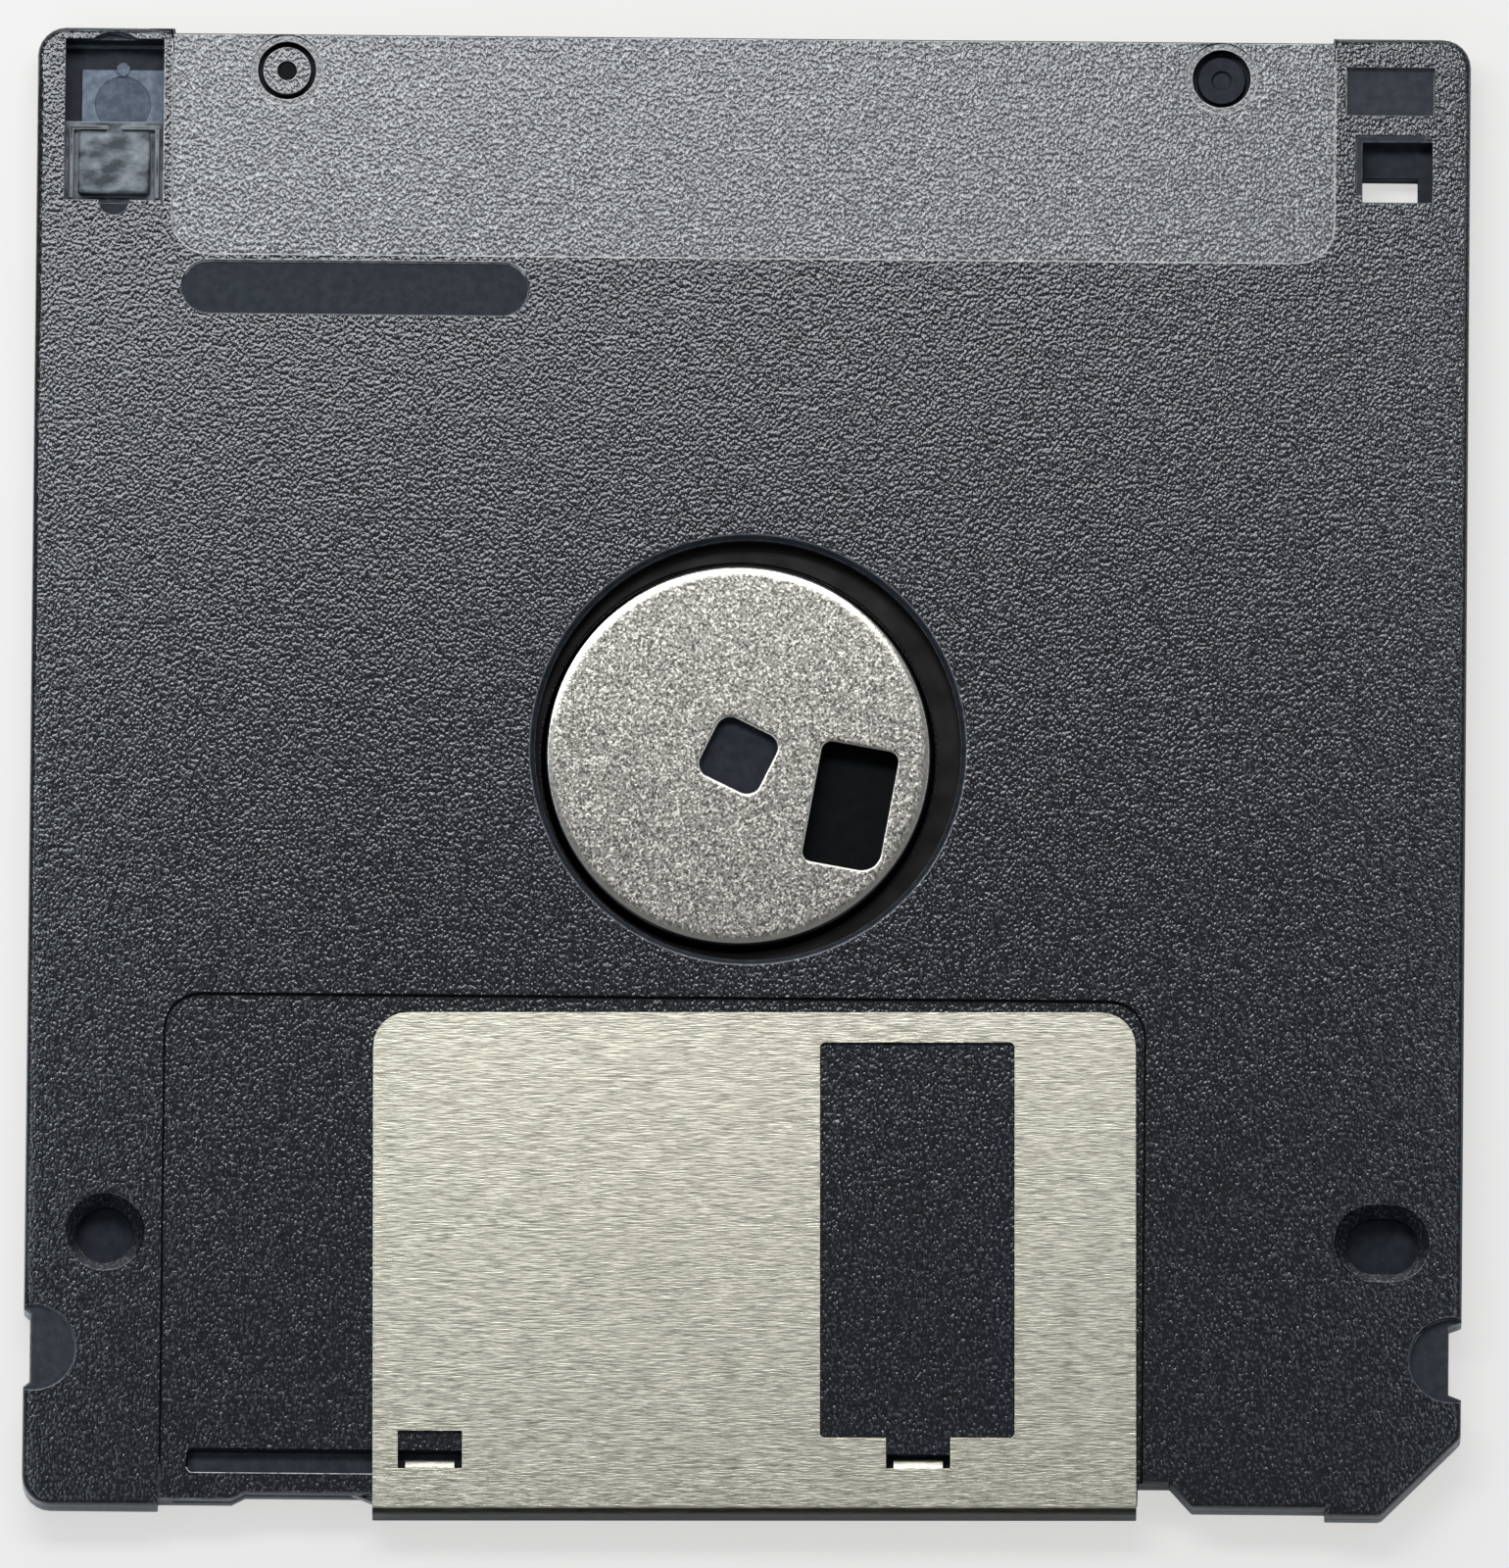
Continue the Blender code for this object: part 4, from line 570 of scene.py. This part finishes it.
def pressed_hub():
    """The cup's skin, in rows from the middle of its top, over the rolled edge, down the wall, out
    and back round the flange and up inside, with a band round each hole that rolls down through the
    sheet, and two flat fills with holes that close it. The rim's arc starts where the crown's ends,
    at the same slope, and ends upright at the hub's radius. The face values are rolled, 1 on the
    rim from the first lean on, and one for painted shade, 1 on the walls below the rim and on the
    faces of the rim that lean further than a set angle, which are painted near black."""
    shape = bmesh.new()
    turns = np.linspace(0.0, 2 * math.pi, HUB_STEPS, endpoint=False)
    unit = np.column_stack((np.cos(turns), np.sin(turns)))
    up, left, down = math.pi / 2, math.pi, 1.5 * math.pi
    inner = HUB_RADIUS - HUB_SHEET
    flange_top = HUB_FLOOR + HUB_SHEET
    flange_end = FLANGE_RADIUS - SHEET_EDGE
    flat = CROWN_START - FLAT_MARGIN
    crown_end = CROWN_START + CROWN_RADIUS * math.sin(CROWN_ANGLE)
    crown_drop = CROWN_RADIUS * (1.0 - math.cos(CROWN_ANGLE))
    rim = (HUB_RADIUS - crown_end) / (1.0 - math.sin(CROWN_ANGLE))
    rim_middle = HUB_FACE - crown_drop - rim * math.cos(CROWN_ANGLE)
    under_face = HUB_FACE - HUB_SHEET
    profile = [
        (flat, HUB_FACE),
        *arc_rows(CROWN_START, HUB_FACE - CROWN_RADIUS, CROWN_RADIUS, up, up - CROWN_ANGLE,
                  CROWN_STEPS),
        *arc_rows(HUB_RADIUS - rim, rim_middle, rim, up - CROWN_ANGLE, 0.0, RIM_STEPS)[1:],
        *arc_rows(HUB_RADIUS + FLANGE_FILLET, flange_top + FLANGE_FILLET, FLANGE_FILLET,
                  left, down, FILLET_STEPS),
        *arc_rows(flange_end, flange_top - SHEET_EDGE, SHEET_EDGE, up, 0.0, SHEET_EDGE_STEPS),
        *arc_rows(flange_end, HUB_FLOOR + SHEET_EDGE, SHEET_EDGE, 0.0, -up, SHEET_EDGE_STEPS),
        *arc_rows(inner + SHEET_EDGE, HUB_FLOOR + SHEET_EDGE, SHEET_EDGE, down, left,
                  SHEET_EDGE_STEPS),
        *arc_rows(HUB_RADIUS - HUB_ROLL, HUB_FACE - HUB_ROLL, HUB_ROLL - HUB_SHEET, 0.0, up,
                  FILLET_STEPS),
        (flat, under_face)]
    add_band(shape, [(unit * reach, height) for reach, height in profile])
    for size, corners, place, turn, roll in (
            ((SQUARE_SIDE, SQUARE_SIDE), SQUARE_CORNERS, (0.0, 0.0), SQUARE_TURN, SQUARE_ROLL),
            (SLOT_SIZE, SLOT_CORNERS, SLOT_PLACE, SLOT_TURN, SLOT_ROLL)):
        hole = [
            (2 * roll, HUB_FACE),
            *arc_rows(roll, HUB_FACE - roll, -roll, down, 2 * math.pi, CROWN_STEPS),
            *arc_rows(SHEET_EDGE, under_face + SHEET_EDGE, -SHEET_EDGE, 0.0, up,
                      SHEET_EDGE_STEPS),
            (2 * roll, under_face)]
        add_band(shape, [(hole_outline(size, corners, place, turn, growth), height)
                         for growth, height in hole])
    for height in (HUB_FACE, under_face):
        rims = [edge for edge in shape.edges if edge.is_boundary
                and abs(edge.verts[0].co.z - height) < MERGE_DISTANCE]
        bmesh.ops.triangle_fill(shape, use_beauty=True, edges=rims)
    bmesh.ops.recalc_face_normals(shape, faces=shape.faces)
    bmesh.ops.translate(shape, vec=(*HUB_PLACE, 0.0), verts=shape.verts)
    piece = bpy.data.objects.new("pressed_hub", bpy.data.meshes.new("pressed_hub"))
    shape.to_mesh(piece.data)
    shape.free()
    piece.data.polygons.foreach_set("use_smooth", np.ones(len(piece.data.polygons), dtype=bool))
    centres, normals = face_centres(piece)
    from_axis = np.hypot(*(centres[:, :2] - HUB_PLACE).T)
    below_rim = centres[:, 2] < HUB_FACE - HUB_ROLL
    leaning = (normals[:, 2] < math.cos(SHADE_LEAN)) & (from_axis > CROWN_START)
    face_value(piece, "rolled", (centres[:, 2] > HUB_FACE - HUB_ROLL) * np.interp(
        normals[:, 2], np.cos(ROLLED_LEANS), (1.0, 0.0)))
    face_value(piece, "hub_shade", below_rim | leaning)
    bpy.context.scene.collection.objects.link(piece)
    return piece


hub = pressed_hub()
hub_finish, tree, shader = new_material("pressed hub steel", Metallic=1.0)
grit = use_group(tree, moulded_grain, Grain_Size=HUB_GRAIN, Rubbed=GRAIN_GLINTING)
rolled, hub_shade = face_number(tree, "rolled"), face_number(tree, "hub_shade")
dull = calculate(tree, "SUBTRACT", 1.0, rolled)
# The grit's pale flecks are painted glints and its dark pits are painted shade, as on the plastic.
tone = blend_colours(tree, grit.outputs["Flecks"], *HUB_TONES)
tone = blend_colours(tree, grit.outputs["Pits"], tone, HUB_PIT_SHADE)
tone = blend_colours(tree, rolled, tone, HUB_ROLLED)
rough = calculate(
    tree, "SUBTRACT", spread(tree, grit.outputs["Height"], *NOISE_RANGE, *HUB_ROUGHNESS),
    calculate(tree, "MULTIPLY", rolled, ROLLED_POLISH))
bump = add(tree, "ShaderNodeBump", {
    "Height": calculate(tree, "MULTIPLY", grit.outputs["Height"], dull), "Distance": HUB_BUMP})
# Painted shade: the walls below the rim and the steep faces of the rim are painted near black.
join(tree, shader, Base_Color=blend_colours(tree, hub_shade, tone, HUB_SHADE), Roughness=rough,
     Normal=bump.outputs["Normal"])
hub.data.materials.append(hub_finish)
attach(hub, "disk")
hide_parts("hub")

# Write-protect slider: a small block on a thin plate, moulded in blue-grey plastic, that slides in
# the window at the case's corner. Its blotches, from dark to pale, are painted highlights, and its
# rounded edges are painted paler as a painted highlight.
SLIDER_EDGE = 0.06 * MM
SHEEN_BLOTCH_SIZE = 1.3 * MM
SHEEN_BLOTCH_LENGTH = 2.2 * MM
SHEEN_BLOTCH_RANGE = (0.42, 0.66)
SLIDER_TONES = ((0.018, 0.025, 0.034), (0.180, 0.204, 0.230))
SLIDER_EDGE_HIGHLIGHT = (0.20, 0.22, 0.24)
SLIDER_ROUGHNESS = (0.50, 0.32)
slider = round_edges(merged_copy("write_protect_tab", "write_protect_slider"), SLIDER_EDGE)
slider_finish, tree, shader = new_material("slider plastic", Specular_IOR_Level=0.2)
sheen_blotches = noise(tree, SHEEN_BLOTCH_SIZE, SHEEN_BLOTCH_LENGTH, detail=5.0, rough=0.6).outputs["Fac"]
tone = blend_colours(tree, spread(tree, sheen_blotches, *SHEEN_BLOTCH_RANGE), *SLIDER_TONES)
join(tree, shader,
     Base_Color=blend_colours(tree, face_number(tree, "edge"), tone, SLIDER_EDGE_HIGHLIGHT),
     Roughness=spread(tree, sheen_blotches, *NOISE_RANGE, *SLIDER_ROUGHNESS))
slider.data.materials.append(slider_finish)
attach(slider, "write_protect_slider")
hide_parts("write_protect_tab")

# Back shell: the half of the case on the hub side, which the photo shows, welded to the front
# shell's pins. It is moulded in black ABS with a pitted outside, a paler bed for the label, a bed
# for the shutter, and smooth pockets. The lip along the top edge and the edges round the shutter's
# bed are painted near black as painted shade. The lips of the label's bed and the guide groove
# carry a painted highlight, and the pit walls that face +Y are painted paler as painted light.
BACK_EDGE = 0.065 * MM
FACE_DEPTH = 0.1 * MM
LABEL_BED = 0.25 * MM
SHUTTER_BED = 0.35 * MM
PIN_RING = 0.45 * MM
BED_MARGIN = 0.03 * MM
BED_SIDES = 37.0 * MM
LABEL_BED_FROM = 30.0 * MM
SHUTTER_BED_TO = -10.0 * MM
PIN_RINGS_FROM = 40.0 * MM
PITS_PLACE = (40.0 * MM, -29.48 * MM)
PIT_RADIUS = 3.2 * MM
PIT_DEPTHS = (0.005 * MM, 1.28 * MM)
GROOVE_Y = -44.6 * MM
GROOVE_MARGIN = 0.25 * MM
GROOVE_ENDS = (-36.0 * MM, -20.0 * MM)
LABEL_LIP_FROM = 31.5 * MM
LIP_SIDES = 37.3 * MM
BED_CORNER_SIDES = 38.0 * MM
BED_CORNER_ENDS = (-44.9 * MM, -13.2 * MM)
LOW_HOLLOWS_TO = -25.0 * MM
LOW_HOLLOWS_SIDES = 24.0 * MM
HIGH_HOLLOW_FROM = (37.5 * MM, 36.0 * MM)
PIN_RING_GRAIN = 0.3
PIT_GRAIN = 0.7
PIN_RING_PALE = 0.8
PIT_PAINTED_LIGHT = (0.12, 0.6)
BACK_SMOOTH = ((0.010, 0.013, 0.018), (0.020, 0.024, 0.032))
BACK_CORNER_SHADE = ((0.0012, 0.0014, 0.0018), (0.0030, 0.0034, 0.0040), 0.05)
BACK_HOLLOWS = ((0.019, 0.022, 0.028), (0.032, 0.036, 0.043))
back_shell = round_edges(merged_copy("back_shell", "case_back_half"), BACK_EDGE)
centres, normals = face_centres(back_shell)
across, along = centres[:, 0], centres[:, 1]
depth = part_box("back_shell")[1].z - centres[:, 2]
upward = normals[:, 2] > UPWARD
on_face = upward & (depth < FACE_DEPTH)
on_label_bed = (upward & (np.abs(depth - LABEL_BED) < BED_MARGIN) & (along > LABEL_BED_FROM)
                & (np.abs(across) < BED_SIDES))
on_shutter_bed = upward & (np.abs(depth - SHUTTER_BED) < BED_MARGIN) & (along < SHUTTER_BED_TO)
on_pin_ring = (upward & (np.abs(depth - PIN_RING) < BED_MARGIN) & (along > PIN_RINGS_FROM)
               & (np.abs(across) < BED_SIDES))
on_outer_wall = outer_walls(centres, normals)
from_pit = np.hypot(np.abs(across) - PITS_PLACE[0], along - PITS_PLACE[1])
on_pit_cone = (from_pit < PIT_RADIUS) & (depth > PIT_DEPTHS[0]) & (depth < PIT_DEPTHS[1])
grained = on_face | on_label_bed | on_shutter_bed | on_pin_ring | on_pit_cone | on_outer_wall
edge_layer = back_shell.data.attributes["edge"].data
strips = np.empty(len(centres), dtype=np.float32)
edge_layer.foreach_get("value", strips)
on_strip = strips > 0.5
# Painted shade: the lip along the top edge and the rounded edges round the shutter's bed are
# painted near black, with no paler edge.
on_shaded_top_lip = ((normals[:, 2] < UPWARD) & (along > REAR_WALL) & (np.abs(across) < LIP_SIDES))
# Painted highlight: the rounded lips along the label's bed and along the guide groove take the pale
# edge tone.
on_highlit_label_lip = (on_strip & (along > LABEL_LIP_FROM) & (np.abs(across) < LIP_SIDES) & ~on_shaded_top_lip)
on_highlit_groove_lip = (on_strip & (np.abs(along - GROOVE_Y) < GROOVE_MARGIN)
                 & (across > GROOVE_ENDS[0]) & (across < GROOVE_ENDS[1]))
in_shaded_bed_corner = (on_strip & (np.abs(across) < BED_CORNER_SIDES) & ~on_highlit_groove_lip
                 & (along > BED_CORNER_ENDS[0]) & (along < BED_CORNER_ENDS[1]))
in_hollow = (((along < LOW_HOLLOWS_TO) & (np.abs(across) > LOW_HOLLOWS_SIDES))
             | ((along > HIGH_HOLLOW_FROM[1]) & (across > HIGH_HOLLOW_FROM[0])))
# Painted light: the pit cones' walls are paler the more they face +Y, towards the lamps.
pit_painted_light = PIT_PAINTED_LIGHT[0] + PIT_PAINTED_LIGHT[1] * np.clip(2.0 * normals[:, 1] - 0.5, 0.0, 1.0)
edge_layer.foreach_set("value", np.where(in_shaded_bed_corner | on_pit_cone | on_shaded_top_lip, 0.0, strips))
face_value(back_shell, "grain", np.select(
    [on_face, on_label_bed, on_shutter_bed, on_pin_ring, on_pit_cone, on_outer_wall],
    [1.0, 1.0, 1.0, PIN_RING_GRAIN, PIT_GRAIN, WALL_GRAIN], 0.0))
# Paleness: greyer on the label's bed, a painted highlight on the lips, and painted light on the pit
# walls.
face_value(back_shell, "pale", np.select(
    [on_label_bed | on_highlit_groove_lip | on_highlit_label_lip, on_pin_ring, on_pit_cone],
    [1.0, PIN_RING_PALE, pit_painted_light], 0.0))
for finish in (black_plastic("black ABS, hub side"),
               smooth_plastic("black ABS, smooth, hub side", *BACK_SMOOTH),
               smooth_plastic("black ABS, corners, hub side", *BACK_CORNER_SHADE),
               smooth_plastic("black ABS, hollows, hub side", *BACK_HOLLOWS)):
    back_shell.data.materials.append(finish)
back_shell.data.polygons.foreach_set("material_index", np.select(
    [in_shaded_bed_corner | on_shaded_top_lip, grained | on_strip, in_hollow], [2, 0, 3], 1).astype(np.int32))
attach(back_shell, "case")
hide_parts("back_shell")

# Shutter: stainless steel sheet folded in a U over the case's lower edge, brushed from side to
# side, with a window for the heads and two tabs pierced and bent down into the guide groove. Its
# bend, where the face value front is 1, is painted darker as painted shade.
SHUTTER_EDGE = 0.035 * MM
BEND_LEAN = -0.3
BEND_SHADE = 0.88
LINE_WIDTH = 0.09
LINE_LENGTH = 0.8
LINE_BUMP = 0.008 * MM
LINE_RANGE = (0.28, 0.72)
BAND_SCALE = 0.45
DASH_RANGE = (0.15, 0.85)
SHUTTER_ROUGHNESS = (0.30, 0.42)
SHUTTER_TONES = ((0.275, 0.268, 0.224), (0.560, 0.547, 0.462))
BLACK = (0.0, 0.0, 0.0)


def brushed_lines_group():
    """Brushing: a noise drawn out along X, fine across it, and a broader one that varies how
    strongly it was brushed."""
    tree, start, end = new_group(
        "brushed lines", {"Line Width": LINE_WIDTH, "Line Length": LINE_LENGTH},
        ("Lines", "Bands"))
    place = add(tree, "ShaderNodeSeparateXYZ", {
        0: add(tree, "ShaderNodeTexCoord").outputs["Object"]})
    across = calculate(tree, "DIVIDE", 1.0 / MM, start.outputs["Line Width"])
    along = calculate(tree, "DIVIDE", 1.0 / MM, start.outputs["Line Length"])
    drawn = add(tree, "ShaderNodeCombineXYZ", {
        0: calculate(tree, "MULTIPLY", place.outputs[0], along),
        1: calculate(tree, "MULTIPLY", place.outputs[1], across),
        2: calculate(tree, "MULTIPLY", place.outputs[2], across)})
    lines = add(tree, "ShaderNodeTexNoise", {
        "Vector": drawn.outputs[0], "Scale": 1.0, "Detail": 2.0, "Roughness": 0.6})
    bands = add(tree, "ShaderNodeTexNoise", {
        "Vector": drawn.outputs[0], "Scale": BAND_SCALE, "Detail": 1.0, "Roughness": 0.5})
    join(tree, end, Lines=spread(tree, lines.outputs["Fac"], *LINE_RANGE),
         Bands=spread(tree, bands.outputs["Fac"], *NOISE_RANGE))
    return tree


shutter = round_edges(merged_copy("shutter", "shutter_sheet"), SHUTTER_EDGE)
face_value(shutter, "front", face_centres(shutter)[1][:, 1] < BEND_LEAN)
shutter_finish, tree, shader = new_material("brushed shutter steel", Metallic=1.0)
brushing = use_group(tree, brushed_lines_group(), Line_Width=LINE_WIDTH, Line_Length=LINE_LENGTH)
lines, bands = brushing.outputs["Lines"], brushing.outputs["Bands"]
dashes = calculate(tree, "ADD", calculate(tree, "MULTIPLY", lines, 0.5),
                   calculate(tree, "MULTIPLY", bands, 0.5))
bend_shade = calculate(tree, "MULTIPLY", face_number(tree, "front"), BEND_SHADE)
tone = blend_colours(tree, spread(tree, dashes, *DASH_RANGE), *SHUTTER_TONES)
bump = add(tree, "ShaderNodeBump", {"Height": lines, "Distance": LINE_BUMP})
join(tree, shader, Base_Color=blend_colours(tree, bend_shade, tone, BLACK),
     Roughness=spread(tree, lines, 0.0, 1.0, *SHUTTER_ROUGHNESS), Normal=bump.outputs["Normal"])
shutter.data.materials.append(shutter_finish)
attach(shutter, "shutter")
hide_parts("shutter")

# Floor: a sheet of white paper, wide enough for every view. The camera sees it evenly lit, as
# the photo shows it, so most of what it sees is a plain glow, which lights nothing else.
FLOOR_SIDE = 2.4
FLOOR_HEIGHT = -0.02 * MM
MOTTLE_SIZE = 6.0 * MM
PAPER_TONES = ((0.84, 0.835, 0.83), (0.88, 0.875, 0.87))
GLOW_TONE = (1.0, 0.99, 0.98)
GLOW_LEVEL = 0.80
GLOW_SHARE = 0.75
floor_mesh = bpy.data.meshes.new("paper_floor")
half = FLOOR_SIDE / 2
floor_mesh.from_pydata(
    [(-half, -half, 0.0), (half, -half, 0.0), (half, half, 0.0), (-half, half, 0.0)],
    [], [(0, 1, 2, 3)])
floor = bpy.data.objects.new("paper_floor", floor_mesh)
floor.location.z = FLOOR_HEIGHT
bpy.context.scene.collection.objects.link(floor)
paper, tree, shader = new_material("paper", Roughness=0.9, Specular_IOR_Level=0.2)
mottle = noise(tree, MOTTLE_SIZE).outputs["Fac"]
join(tree, shader, Base_Color=blend_colours(tree, mottle, *PAPER_TONES))
glow = add(tree, "ShaderNodeEmission", {"Color": GLOW_TONE, "Strength": GLOW_LEVEL})
seen = calculate(
    tree, "MULTIPLY", add(tree, "ShaderNodeLightPath").outputs["Is Camera Ray"], GLOW_SHARE)
mixed = add(tree, "ShaderNodeMixShader", {0: seen, 1: shader.outputs[0], 2: glow.outputs[0]})
join(tree, tree.nodes["Material Output"], Surface=mixed.outputs[0])
floor_mesh.materials.append(paper)

# Light: a plain pale room and four soft lamps. The black plastic and the metal mirror the strip
# above the top edge, two weak strips light the sides, and the panel behind throws the shadows.
# Each lamp has its size, place, aim, level and colour.
ROOM_LEVEL = 0.26
WHITE = (1.0, 1.0, 1.0)
LAMPS = {
    "top_strip": ((0.22, 0.06), (-0.055, 0.115, 0.222), (-0.055, 0.0, 0.0), 12.5, WHITE),
    "left_strip": ((0.02, 0.24), (-0.080, -0.04, 0.090), (-0.080, -0.04, 0.0), 4.0,
                   (0.80, 0.92, 1.0)),
    "right_strip": ((0.02, 0.24), (0.078, -0.02, 0.085), (0.078, -0.02, 0.0), 2.8,
                    (0.82, 0.93, 1.0)),
    "back_panel": ((0.5, 0.25), (0.0, 0.55, 0.22), (0.0, 0.0, 0.0), 3.0, WHITE)}


def soft_light(name, size, place, aim, level, colour):
    """A rectangular lamp at a place, aimed at a point, which the camera doesn't see. The level
    is how bright its face is, where 1 is white."""
    data = bpy.data.lights.new(name, "AREA")
    data.shape = "RECTANGLE"
    data.size, data.size_y = size
    data.energy = level * math.pi * size[0] * size[1]
    data.color = colour
    lamp = bpy.data.objects.new(name, data)
    lamp.location = place
    lamp.rotation_euler = (Vector(aim) - Vector(place)).to_track_quat("-Z", "Y").to_euler()
    lamp.visible_camera = False
    bpy.context.scene.collection.objects.link(lamp)


world = bpy.data.worlds.new("pale room")
bpy.context.scene.world = world
world.use_nodes = True
room = world.node_tree.nodes["Background"]
room.inputs["Color"].default_value = (*WHITE, 1.0)
room.inputs["Strength"].default_value = ROOM_LEVEL
for lamp_name, lamp_values in LAMPS.items():
    soft_light(lamp_name, *lamp_values)

# Camera: far above the disk, tipped a little towards the shutter's side, as the photo was taken.
# Its aim, its roll and its scale are fitted to the outline in the photo.
CAMERA_DISTANCE = 4.0
CAMERA_TILT = 10.0 * DEGREE
CAMERA_ROLL = 0.53 * DEGREE
CAMERA_AIM = (0.42 * MM, -0.10 * MM)
PIXELS_PER_MM = 16.27
FRAME_HEIGHT = 1600
SENSOR_WIDTH = 36.0
CLIP_NEAR = 0.01
CLIP_FAR = 20.0
camera_data = bpy.data.cameras.new("camera")
camera_data.sensor_width = SENSOR_WIDTH
camera_data.lens = PIXELS_PER_MM / MM * CAMERA_DISTANCE / FRAME_HEIGHT * SENSOR_WIDTH
camera_data.clip_start = CLIP_NEAR
camera_data.clip_end = CLIP_FAR
camera = bpy.data.objects.new("camera", camera_data)
away = CAMERA_DISTANCE * math.sin(CAMERA_TILT)
camera.location = (CAMERA_AIM[0] + away * math.sin(CAMERA_ROLL),
                   CAMERA_AIM[1] - away * math.cos(CAMERA_ROLL),
                   CAMERA_DISTANCE * math.cos(CAMERA_TILT))
camera.rotation_euler = (CAMERA_TILT, 0.0, CAMERA_ROLL)
bpy.context.scene.collection.objects.link(camera)
bpy.context.scene.camera = camera

bpy.context.scene.view_settings.view_transform = "Standard"
